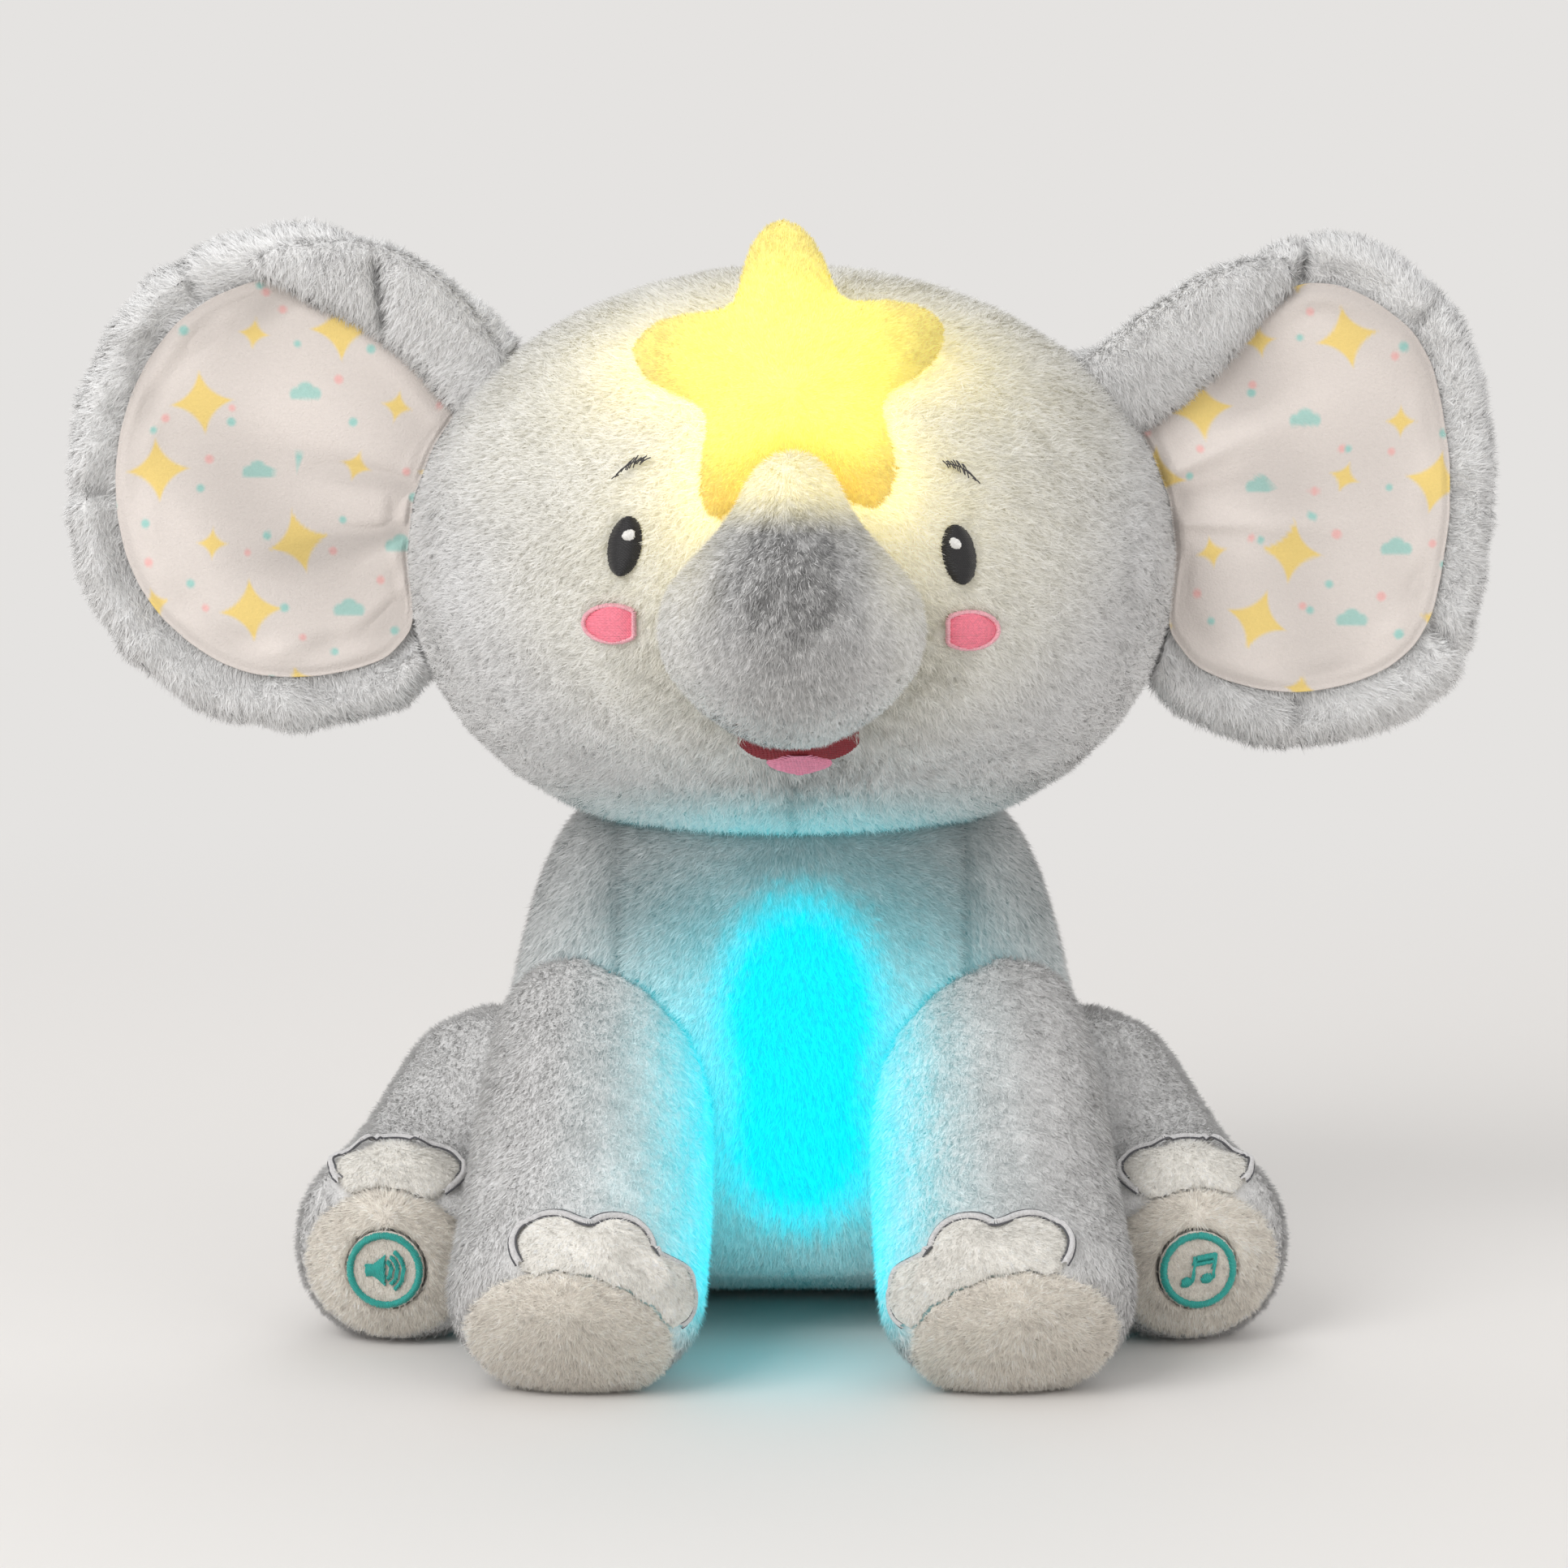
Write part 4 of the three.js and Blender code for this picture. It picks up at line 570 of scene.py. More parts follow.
def growPile(skin, body, slot, look, rule):
    co, normals, triangles = skinOf(skin)
    a, b, c = co[triangles[:, 0]], co[triangles[:, 1]], co[triangles[:, 2]]
    area = np.linalg.norm(np.cross(b - a, c - a), axis=1) / 2
    # Faces that lie against a neighbour carry no pile
    pressed = np.zeros(len(co), dtype=bool)
    for node in look["against"]:
        tree = nodeTree(node)
        pressed |= np.array([tree.find_nearest(place, 1.9 * mm)[0] is not None for place in co])
    area[pressed[triangles].all(axis=1)] = 0
    total = int(area.sum() / mm ** 2 * look["density"])
    rng = np.random.default_rng(look["seed"])
    steps = np.cumsum(area) / area.sum()
    pick = np.minimum(np.searchsorted(steps, rng.random(total)), len(area) - 1)
    s, t = np.sqrt(rng.random(total))[:, None], rng.random(total)[:, None]
    corners = triangles[pick]

    def onFaces(rows):
        a, b, c = (rows[corners[:, k]] for k in range(3))
        return a * (1 - s) + b * s * (1 - t) + c * s * t

    roots, up = onFaces(co), unit(onFaces(normals))
    parts = max(1, math.ceil(total / mostBlades))
    box = (co.min(axis=0), co.max(axis=0))
    for k in range(parts):
        name = skin.name + "Pile" + (str(k + 1) if parts > 1 else "")
        piece = bladesFrom(name, roots[k::parts], up[k::parts], rule, look, rng, box)
        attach(piece, body)
        pileCount["blades"] += len(piece.data.polygons)


def dressSkin(skin, rule, look):
    co, normals, _ = skinOf(skin)
    _, _, _, colour, glow = rule(co, normals)
    # The skin carries the roots' painted shade
    writeColours(skin.data, "pileColourAndShading", colour * look["deep"])
    writeColours(skin.data, "lampGlow", glow * skinGlow)
    giveMaterial(skin, plushPile)


def dressForm(look, rule):
    look = {**plainLook, **look}
    skin = look.get("skin") or stuffedForm(look)
    soften(skin, look)
    if "shape" in look:
        look["shape"](skin)
    dressSkin(skin, rule, look)
    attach(skin, look["body"])
    if "node" in look:
        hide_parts(look["node"])
    growPile(skin, look["body"], look["slot"], look, rule)
    print(look["name"], "made")
    return skin


def treeOf(piece):
    mesh = piece.data
    return BVHTree.FromPolygons([v.co for v in mesh.vertices], [p.vertices for p in mesh.polygons])


def nodeTree(node):
    return treeOf(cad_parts[node])


plushPatches = [(0.04, 30, 77), (0.035, 9, 78), (0.045, 3.4, 79)]  # strength, size in mm, seed


# Where a rule starts: how much pile is kept, its length, its colour and the light from the lamps
def plainPile(p, tone):
    count = len(p)
    patches = 1
    for strength, size, seed in plushPatches:
        patches = patches + strength * ripple(p, size * mm, seed)
    shade = np.array(pileLooks[tone])[None, :] * patches[:, None]
    return np.ones(count), np.ones(count), shade, np.zeros((count, 3))


def combed(p, way):
    return np.tile(np.array([way], float), (len(p), 1))


# Head. Each feature is at x and z, with its width and height, in mm
face = {
    "eyes": [(-38.3, 193.3, 7.3, 13.6), (38.3, 191.4, 7.3, 13.6)],
    "cheeks": [(-41.2, 175.4, 13.6, 8.4), (40.8, 173.9, 13.6, 8.4)],
    "brows": [(-36.9, 210.8, 7.0, 3.4), (38.7, 209.9, 7.0, 3.4)],
    "mouth": (1.5, 147.2, 28, 10),
    "browLean": -24,
    "trunkMiddle": 0.178,
    "front": -30,
    "eyeShade": 0.42,
    "cheekShade": 0.35,
    "seamShade": 0.5,
    "partedShade": 0.42,
    "underTrunkShade": 0.6,
    "starGlow": (0.42, 0.25),
    "chinGlow": 0.4,
}


def ellipseReach(p, x, z, width, height):
    return np.sqrt(((p[:, 0] / mm - x) / (width / 2)) ** 2 + ((p[:, 2] / mm - z) / (height / 2)) ** 2)


def headRule(p, n):
    keep, stretch, colour, glow = plainPile(p, "grey")
    inFront = p[:, 1] < face["front"] * mm
    keep *= 1 - 0.36 * between(n[:, 1], 0.1, 0.5)
    for spot in [*face["eyes"], *face["cheeks"]]:
        reach = ellipseReach(p, *spot)
        keep[(reach < 1.02) & inFront] = 0
        near = inFront & (reach < 1.6)
        stretch[near] *= 0.62 + 0.38 * between(reach[near], 1.0, 1.6)
    for x, z, width, height in face["brows"]:
        lean = np.sign(x) * math.radians(face["browLean"])
        u = (p[:, 0] / mm - x) * math.cos(lean) - (p[:, 2] / mm - z) * math.sin(lean)
        v = (p[:, 0] / mm - x) * math.sin(lean) + (p[:, 2] / mm - z) * math.cos(lean)
        reach = np.sqrt((u / (width / 2)) ** 2 + (v / (height / 2)) ** 2)
        keep[(reach < 0.8) & inFront] = 0
    keep[(ellipseReach(p, *face["mouth"]) < 1.0) & inFront] = 0
    # Painted shade in the pressed pile beside the stitching
    for spot in face["eyes"]:
        out = np.sign(spot[0]) * (p[:, 0] / mm - spot[0])
        shade = between(ellipseReach(p, *spot), 1.55, 1.0) * between(out, -2.0, 2.5) * inFront
        dim(colour, face["eyeShade"] * shade)
    for spot in face["cheeks"]:
        out = p[:, 2] / mm - spot[1]
        shade = between(ellipseReach(p, *spot), 1.4, 1.0) * between(out, -1.0, 3.0) * inFront
        dim(colour, face["cheekShade"] * shade)
    # Painted shade along the chin seam, which also thins the pile, and in the parted pile round it
    seam = bell((p[:, 0] - 0.4 * mm) / (1.1 * mm)) * (p[:, 2] < 139 * mm) * (n[:, 1] < 0.1)
    dim(colour, face["seamShade"] * seam)
    keep *= 1 - 0.6 * seam
    parted = bell((p[:, 0] - 6 * mm) / (20 * mm)) * between(p[:, 2], 147 * mm, 140 * mm)
    parted *= (1 - between(p[:, 2], 132 * mm, 122 * mm)) * (n[:, 1] < 0)
    parted *= 0.55 + 0.55 * ripple(p * np.array([1, 1, 0.4]), 3 * mm, 31)
    dim(colour, face["partedShade"] * np.clip(parted, 0, 1))
    # Painted shade on the head under the trunk, more so at its right
    under = nearShare(p, "trunk", 22 * mm, 11 * mm) * between(p[:, 2], 190 * mm, 164 * mm) * inFront
    under *= (0.8 + 0.3 * ripple(p, 4 * mm, 33)) * (0.75 + 0.4 * between(p[:, 0], -12 * mm, 24 * mm))
    dim(colour, face["underTrunkShade"] * np.clip(under, 0, 1))
    # The lamps' light round the star and under the chin
    near = nearShare(p, "star", 34 * mm, 7 * mm)
    far = nearShare(p, "star", 70 * mm, 28 * mm)
    colour = paintOver(colour, pileLooks["halo"], np.clip(0.5 * near + 0.5 * far, 0, 1))
    shine(glow, "haloLight", face["starGlow"][0] * near + face["starGlow"][1] * far)
    chin = between(p[:, 2], 139 * mm, 121 * mm) * bell(p[:, 0] / (38 * mm)) * (n[:, 1] < 0.2)
    shine(glow, "cyanLight", face["chinGlow"] * chin)
    flow = columns(p[:, 0] * 1.1, p[:, 1] * 0.4, (p[:, 2] - face["trunkMiddle"]) * 0.8 - 0.028)
    stretch *= 1 + 0.25 * between(p[:, 2], 150 * mm, 125 * mm)
    return keep, flow, stretch, colour, glow


headLook = {
    "name": "headPlush", "node": "head", "body": "toy", "slot": "plush", "voxel": 2.2, "soften": 9,
    "puff": 0.3, "pile": 2.8, "density": 5.6, "lift": 32, "seed": 11, "fill": 0.9, "against": ["trunk"],
}
headTree = treeOf(dressForm(headLook, headRule))


# Trunk
trunkLook = {
    "name": "trunkPlush", "node": "trunk", "body": "toy", "slot": "plush", "voxel": 1.8, "soften": 7,
    "pile": 2.1, "density": 7.5, "lift": 34, "clump": 0.4, "stray": 0.14, "seed": 23, "fill": 0.85,
    "against": ["head"], "patchShade": 0.7, "lowShade": 0.34, "rimGlow": 0.08, "tipGlow": 0.42,
    "sideGlow": 0.14,
}


# The tip is slimmer than the stuffing behind it
def slimTip(skin):
    co = skinOf(skin)[0]
    share = between(co[:, 2], 182 * mm, 206 * mm)
    co[:, 0] *= 1 - 0.17 * share
    co[:, 2] -= 1.6 * mm * share
    writePlaces(skin, co)


def trunkRule(p, n):
    keep, stretch, colour, glow = plainPile(p, "grey")
    # Painted shade with the mottle of parted pile: a dark patch in the middle, where the curl turns from the
    # light, and a fainter one under it
    middle = bell((p[:, 0] + 1 * mm) / (15 * mm), (p[:, 2] - 188 * mm) / (17 * mm))
    grain = np.random.default_rng(44).normal(scale=0.34, size=len(p))
    mottle = 0.8 + 0.2 * ripple(p, 7 * mm, 41) + 0.22 * ripple(p, 1.5 * mm, 42) + grain
    patch = np.clip(middle * mottle * 1.2, 0, 1) * (n[:, 1] < 0.2)
    dim(colour, trunkLook["patchShade"] * patch)
    low = bell(p[:, 0] / (17 * mm), (p[:, 2] - 164 * mm) / (14 * mm))
    low *= np.clip(0.8 + 0.3 * ripple(p, 3 * mm, 43) + grain, 0, 1)
    dim(colour, trunkLook["lowShade"] * low)
    # Painted light: the lamps' glow on the trunk's lower rim, and the star's light on its tip and sides
    rim = between(np.abs(n[:, 0]), 0.45, 0.85) * between(p[:, 2], 146 * mm, 164 * mm)
    shine(glow, "halo", trunkLook["rimGlow"] * rim)
    tip = between(p[:, 2], 197 * mm, 209 * mm)
    colour = paintOver(colour, pileLooks["halo"], 0.7 * tip)
    shine(glow, "haloLight", trunkLook["tipGlow"] * tip)
    side = between(p[:, 2], 172 * mm, 198 * mm) * between(np.abs(p[:, 0]), 13 * mm, 24 * mm)
    shine(glow, "haloLight", trunkLook["sideGlow"] * side * (1 - tip))
    keep[n[:, 1] > 0.1] = 0
    flow = columns(p[:, 0] * 1.2, 0, -0.03)
    return keep, flow, stretch, colour, glow


dressForm({**trunkLook, "shape": slimTip}, trunkRule)


# Star cover, lit from behind
starLook = {
    "name": "starCover", "node": "star", "body": "toy", "slot": "star_cloth", "voxel": 1.1, "soften": 7,
    "puff": 0.5, "pile": 1.4, "density": 8.0, "width": 0.21, "lift": 40, "deep": 0.9, "seed": 37,
    "fill": 0.95, "drift": 0.1, "middle": 229, "core": (15, 33), "brightness": 0.8,
}


def starRule(p, n):
    keep, stretch, colour, glow = plainPile(p, "yellow")
    x, z = p[:, 0] / mm, p[:, 2] / mm
    core = 1 - between(np.hypot(x, z - starLook["middle"]), *starLook["core"])
    grain = np.random.default_rng(38).normal(scale=0.12, size=len(p))
    # Painted shade on the star's lower middle behind the trunk's tip and on its lower arms, in its colour and
    # its glow
    low = bell((x - 1) / 15, (z - 212) / 7) * (1 + grain)
    legs = between(z, 219, 203)
    light = np.array(pileLooks["starLight"])[None, :] * core[:, None]
    light += np.array(pileLooks["starEdge"])[None, :] * ((1 - core) * (0.42 + 0.5 * grain))[:, None]
    light = paintOver(light, pileLooks["starLowShade"], np.clip(0.75 * low + 0.35 * legs, 0, 1))
    glow += light * starLook["brightness"]
    colour = paintOver(colour, pileLooks["starLowShade"], np.clip(0.35 * legs + 0.4 * low, 0, 1))
    flow = columns(x, 0, z - starLook["middle"]) * mm
    return keep, flow, stretch, colour, glow


dressForm(starLook, starRule)


# Torso
torsoLook = {
    "name": "torsoPlush", "node": "body", "body": "toy", "slot": "plush", "voxel": 2.3, "soften": 7,
    "puff": 0.2, "pile": 2.8, "density": 4.2, "lift": 32, "width": 0.24, "seed": 51, "fill": 0.85,
    "against": ["head"],
}
# The room for the module and the ledge under the flap: half width, front, back, bottom and top, in mm
pocket = {"room": (33, -27, 80, 22, 113.6), "ledge": (35.5, 30, 999, 32.5, 113.6), "flapSide": 52}


# In front the stuffing rounds up from the seat
def liftFront(skin):
    co = skinOf(skin)[0]
    forward = np.clip((37 * mm - co[:, 1]) / (45 * mm), 0, 1.2)
    share = forward ** 1.4 * (1 - np.clip(co[:, 2] / (20 * mm), 0, 1)) ** 1.3
    co[:, 2] += 10 * mm * share
    writePlaces(skin, co)


# Seams of the bib: painted shade in a parting from the neck down to the legs, where the pile is also thinner,
# in mm from the middle
bibSeam = {"place": 41.5, "width": 1.3, "shade": 0.36, "thinning": 0.5}


def partSeam(p, keep, colour):
    off = np.abs(np.abs(p[:, 0]) - bibSeam["place"] * mm)
    seam = bell(off / (bibSeam["width"] * mm)) * between(p[:, 2], 80 * mm, 92 * mm) * (p[:, 1] < 30 * mm)
    dim(colour, bibSeam["shade"] * seam)
    keep *= 1 - bibSeam["thinning"] * seam


def inRoom(x, y, z, room):
    half, front, back, low, high = room
    return (np.abs(x) < half) & (y > front) & (y < back) & (z > low) & (z < high)


def torsoRule(p, n):
    keep, stretch, colour, glow = plainPile(p, "grey")
    x, y, z = p[:, 0] / mm, p[:, 1] / mm, p[:, 2] / mm
    inner = inRoom(x, y, z, pocket["room"]) & ((n[:, 1] < 0.35) | (y < pocket["flapSide"]))
    keep[inner | inRoom(x, y, z, pocket["ledge"]) | (z < 1.5)] = 0
    share = bellyShare(p) * (n[:, 1] < 0)
    spill = bellySpill(p) * (n[:, 1] < 0.3) * (y < 12) * (1 - share)
    dim(colour, underHead(p) * (n[:, 1] < 0.4))
    colour = lightBelly(colour, glow, share, spill)
    partSeam(p, keep, colour)
    flow = columns(x * 0.3, 0, -60.0) * mm
    return keep, flow, stretch, colour, glow


dressForm({**torsoLook, "shape": liftFront}, torsoRule)


# Bib over the lamp
bibLook = {
    "name": "bellyBib", "node": "belly_panel", "body": "toy", "slot": "plush", "voxel": 0.9, "soften": 4,
    "puff": 0.25, "pile": 2.7, "density": 7.0, "lift": 34, "seed": 61, "shape": liftFront,
}


def bibRule(p, n):
    keep, stretch, colour, glow = plainPile(p, "grey")
    keep[n[:, 1] > 0.15] = 0
    share = bellyShare(p)
    spill = bellySpill(p) * (1 - share)
    grain = np.random.default_rng(62).normal(scale=0.05, size=len(p))
    dim(colour, underHead(p))
    colour = lightBelly(colour, glow, share, spill, grain)
    partSeam(p, keep, colour)
    flow = columns(p[:, 0] * 0.9, 0, (p[:, 2] - 0.112) * 1.0 - 0.02)
    return keep, flow, stretch, colour, glow


dressForm(bibLook, bibRule)


# Round lobes of the toe patches: each foot's end, heading and half section, then where the patch's
# middle sits round from the top and back from the end, in mm. A lobe is across, back and radius, as
# shares of the reach
feet = {
    "front": {
        "end": (51.018, -93.523, 12.764), "heading": (0.0769, -0.8268, -0.5573), "half": 29.18,
        "tall": 23.52, "round": -10, "back": 10.0, "lobeWay": -1, "reach": 30,
        "lobes": [(-0.43, 0.01, 0.28), (0.08, 0.04, 0.285), (0.7, -0.06, 0.22), (0.93, -0.13, 0.18),
                  (-0.17, -0.08, 0.2), (0.42, -0.1, 0.21)],
    },
    "hind": {
        "end": (96.889, -41.018, 22.848), "heading": (0.1155, -0.9931, -0.0194), "half": 24.7, "tall": 23.94,
        "round": -0.5, "back": 6.56, "lobeWay": 1, "reach": 18,
        "lobes": [(-0.6, 0.03, 0.38), (0.05, 0.12, 0.36), (0.63, -0.02, 0.25), (-0.25, -0.06, 0.3),
                  (0.36, -0.06, 0.25), (-0.6, -0.36, 0.38), (-0.3, -0.36, 0.38), (0.05, -0.36, 0.36),
                  (0.35, -0.36, 0.3), (0.6, -0.36, 0.28)],
    },
}


def footFrame(kind, side):
    foot = feet[kind]
    mirror = np.array([side, 1, 1])
    end, heading = np.array(foot["end"]) * mirror * mm, np.array(foot["heading"]) * mirror
    across = np.cross((0, 0, 1), heading)
    across /= np.linalg.norm(across)
    return foot, end, heading, across, np.cross(heading, across)


def toeReach(foot, turns):
    reach = np.zeros(len(turns))
    for a, b, radius in foot["lobes"]:
        along = a * np.cos(turns) + b * np.sin(turns)
        off = a * a + b * b - along ** 2
        rim = along + np.sqrt(np.clip(radius ** 2 - off, 0, 1))
        reach = np.maximum(reach, np.where(off < radius ** 2, rim, 0))
    return reach * foot["reach"]


# How far each point lies outside the lobes, in mm
def outsideToes(kind, side, p):
    foot, end, heading, across, top = footFrame(kind, side)
    rel = (p - end) / mm
    turn = np.arctan2(rel @ across / foot["half"], rel @ top / foot["tall"])
    u = (turn * foot["half"] - side * foot["round"]) * side * foot["lobeWay"]
    v = -rel @ heading - foot["back"]
    return np.hypot(u, v) - toeReach(foot, np.arctan2(v, u))


# Legs
sides = {"left": -1, "right": 1}
legCovers = {}
legLooks = {
    "front": {"voxel": 1.8, "soften": 9, "pile": 2.7, "density": 5.6, "lift": 30, "seed": 71},
    "hind": {"voxel": 2.0, "soften": 9, "pile": 2.7, "density": 4.8, "lift": 32, "seed": 81},
}
legComb = {"front": (0.12, -0.62, -0.8), "hind": (0.35, -1.0, -0.25)}
toeCord = {"inner": -0.5, "outer": 2.2, "short": 4.6}  # mm outside the lobes


def legRule(side, kind):
    def rule(p, n):
        keep, stretch, colour, glow = plainPile(p, "grey")
        x, y, z = p[:, 0] / mm, p[:, 1] / mm, p[:, 2] / mm
        ahead = y < -10
        keep[z < 1.2] = 0
        # The pile is short between the toe patch and the sole, and parted where the cord lies
        outside = outsideToes(kind, side, p)
        inside = (outside < toeCord["inner"]) & ahead
        colour[inside] = np.array(pileLooks["pale"]) * 0.94
        stretch[inside | ((outside < toeCord["short"]) & ahead)] *= 0.55
        keep[(outside > toeCord["inner"]) & (outside < toeCord["outer"]) & ahead] = 0
        for tree, reach in legCovers[(side, kind)]:
            for k in np.nonzero(ahead & (keep > 0))[0]:
                if tree.find_nearest(p[k], reach)[0] is not None:
                    keep[k] = 0
        # The belly's light on the front legs' inner sides
        spill = np.clip(-side * n[:, 0] + 0.4, 0, 1) * np.exp(-np.clip(np.abs(x) - 21, 0, None) / 12)
        spill *= between(z, 8, 30) * (1 - between(z, 74, 102)) * (kind == "front")
        colour = paintOver(colour, pileLooks["cyan"], np.clip(0.4 * spill, 0, 1))
        shine(glow, "cyanLight", 0.85 * spill)
        out, forward, up = legComb[kind]
        return keep, combed(p, (side * out, forward, up)), stretch, colour, glow
    return rule


for kind, legLook in legLooks.items():
    for name, side in sides.items():
        legCovers[(side, kind)] = [
            (nodeTree(f"{kind}_sole_{name}"), 0.75 * mm),
            (nodeTree(f"{kind}_toes_{name}"), 1.2 * mm),
        ]
        dressForm({
            **legLook, "name": f"{kind}Leg{name.capitalize()}", "node": f"{kind}_leg_{name}", "body": "toy",
            "slot": "plush", "seed": legLook["seed"] + (side > 0) * 5, "puff": 0.25, "fill": 0.85,
        }, legRule(side, kind))
print("blades so far", pileCount["blades"])


# Threads: satin stitches side by side, each a thin tube that arches over the pile

def stitch(name, strands, thick, material, body):
    bpy.ops.curve.primitive_nurbs_path_add()
    piece = bpy.context.object
    piece.name = name
    curve = piece.data
    curve.splines.clear()
    for strand in strands:
        spline = curve.splines.new("POLY")
        spline.points.add(len(strand) - 1)
        spline.points.foreach_set("co", [v for place in strand for v in (*place, 1)])
    curve.bevel_depth = thick * mm / 2
    curve.bevel_resolution = 1
    curve.use_fill_caps = True
    pickOnly(piece)
    bpy.ops.object.convert(target="MESH")
    bpy.ops.object.shade_smooth()
    giveMaterial(piece, material)
    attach(piece, body)
    return piece


def placerOn(tree, middle, across, up, out):
    middle, across, up, out = (Vector(v) for v in (middle, across, up, out))

    def place(u, v, lift):
        start = middle + across * (u * mm) + up * (v * mm)
        hit, normal, _, _ = tree.ray_cast(start + out * 0.03, -out, 0.06)
        if hit is None:
            return start + out * (lift * mm)
        return hit + (normal + out).normalized() * (lift * mm)
    return place


def satin(inside, reach, gap, place, lift=0.5, arch=0.45, lean=0.0, fray=0.25, seed=1):
    rng = np.random.default_rng(seed)
    turnC, turnS = math.cos(lean), math.sin(lean)
    strands = []
    for v in np.arange(-reach, reach, gap):
        us = np.arange(-reach, reach, 0.08)
        filled = [inside(u * turnC - v * turnS, u * turnS + v * turnC) for u in us]
        k = 0
        while k < len(us):
            if not filled[k]:
                k += 1
                continue
            first = k
            while k < len(us) and filled[k]:
                k += 1
            low, high = us[first] - fray * rng.random(), us[k - 1] + fray * rng.random()
            if high - low < 0.3:
                continue
            steps = max(4, int((high - low) / 1.1) + 3)
            strand = []
            for t in np.linspace(0, 1, steps):
                u = low + (high - low) * t
                rise = lift * (0.35 + 0.65 * min(1, 4 * min(t, 1 - t))) + arch * math.sin(math.pi * t) ** 0.7
                strand.append(place(u * turnC - v * turnS, u * turnS + v * turnC, rise))
            strands.append(strand)
    return strands


stitchSteps = (-1, -0.5, 0, 0.5, 1)


# A place by how far along a line it lies, and the line's length; other rows follow the same line
def walked(line):
    steps = np.linalg.norm(np.diff(line, axis=0), axis=1)
    along = np.concatenate([[0], np.cumsum(steps)])

    def at(s, rows=line):
        return np.array([np.interp(s, along, row) for row in rows.T])
    return at, along[-1]


# Short stitches across a line drawn in the patch's own measures
def stitchesAlong(points, length, gap, place, lift=0.6, arch=0.25, seed=1):
    rng = np.random.default_rng(seed)
    at, whole = walked(np.array(points, float))
    strands = []
    for s in np.arange(0, whole, gap):
        middle = at(s)
        way = at(min(s + 0.2, whole)) - at(max(s - 0.2, 0))
        way /= max(np.linalg.norm(way), 1e-6)
        side = np.array([-way[1], way[0]]) * length / 2 * rng.uniform(0.85, 1.15)
        strand = []
        for t in stitchSteps:
            u, v = middle + side * t
            strand.append(place(u, v, lift * (1 - 0.6 * t * t) + arch * (1 - t * t)))
        strands.append(strand)
    return strands


# Eyes, cheeks, brows, mouth and tongue
def facePlacer(x, z):
    return placerOn(headTree, (x * mm, -0.08, z * mm), (1, 0, 0), (0, 0, 1), (0, -1, 0))


def oval(width, height, middle=(0, 0), lean=0.0):
    def inside(u, v):
        a = (u - middle[0]) * math.cos(lean) + (v - middle[1]) * math.sin(lean)
        b = -(u - middle[0]) * math.sin(lean) + (v - middle[1]) * math.cos(lean)
        return (2 * a / width) ** 2 + (2 * b / height) ** 2 <= 1
    return inside


def browLine(t, width, side):
    return t * width / 2, 1.1 * (1 - t * t) - side * t * 1.9


embroidery = {
    "eyeLean": 11,
    "eyeShine": {-1: (2.9, 3.9, 1.2, 2.5), 1: (2.5, 4.1, -1.1, 2.5)},  # width, height, across, up
    "cheekThread": 0.42, "browThread": 0.3,
}
for side in (-1, 1):
    name = "Left" if side < 0 else "Right"
    x, z, width, height = face["eyes"][(side + 1) // 2]
    place = facePlacer(x, z)
    lean = math.radians(embroidery["eyeLean"]) * side
    rows = satin(oval(width, height, lean=lean), 9, 0.3, place, lift=1.7, arch=0.7, seed=side + 5)
    eye = stitch("eyeStitches" + name, rows, 0.46, blackThread, "toy")
    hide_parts("eye_" + name.lower())
    wide, tall, shineX, shineZ = embroidery["eyeShine"][side]
    rows = satin(oval(wide, tall, (shineX, shineZ), lean), 7, 0.24, place, 2.5, 0.35, math.pi / 2, 0.1, 7)
    stitch("eyeShine" + name, rows, 0.36, whiteThread, "toy")
    x, z, width, height = face["cheeks"][(side + 1) // 2]
    place = facePlacer(x, z)
    patch = oval(width, height)
    cutPatch = lambda u, v: patch(u, v) and -side * u < width * 0.36
    rows = satin(cutPatch, 8, 0.36, place, 1.3, 0.4, seed=side + 9)
    cheek = stitch("cheekStitches" + name, rows, embroidery["cheekThread"], pinkThread, "toy")
    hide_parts("cheek_" + name.lower())
    rim = [(width / 2 * math.cos(a), height / 2 * math.sin(a)) for a in np.linspace(0, 2 * math.pi, 60)]
    rim = [(np.clip(u * -side, -99, width * 0.36) * -side, v) for u, v in rim]
    rows = stitchesAlong(rim, 1.0, 0.34, place, 1.5, 0.3, 11)
    stitch("cheekRim" + name, rows, 0.36, palePinkThread, "toy")
    x, z, width, height = face["brows"][(side + 1) // 2]
    place = facePlacer(x, z)
    rng = np.random.default_rng(3 + side)
    strokes = []
    for t in np.linspace(-1, 1, 13):
        u, v = browLine(t, width, side)
        turn = math.radians(62 - 26 * abs(t) + rng.uniform(-16, 16))
        reach = (1.8 - 0.6 * abs(t)) * rng.uniform(0.6, 1.1)
        du, dv = reach * math.cos(turn) * -side, reach * math.sin(turn)
        strokes.append([place(u - du * k, v - dv * k, 1.5 + 0.9 * (1 - k * k)) for k in (-1, -0.4, 0.3, 1)])
    strokes.append([place(*browLine(t, width, side), 1.9) for t in np.linspace(-1, 1, 14)])
    brow = stitch("brow" + name, strokes, embroidery["browThread"], browThread, "toy")
    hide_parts("brow_" + name.lower())
mouthX, mouthZ, mouthWidth = face["mouth"][:3]
mouthPlace = facePlacer(mouthX, mouthZ)


def mouthInside(u, v):
    half = mouthWidth / 2
    return abs(u) < half and 4.3 * (abs(u) / half) ** 4 - 4.1 < v < 4.2


def tongueInside(u, v):
    return ((u - 0.3) / 7.5) ** 2 + ((v + 4.4) / 2.4) ** 2 < 1


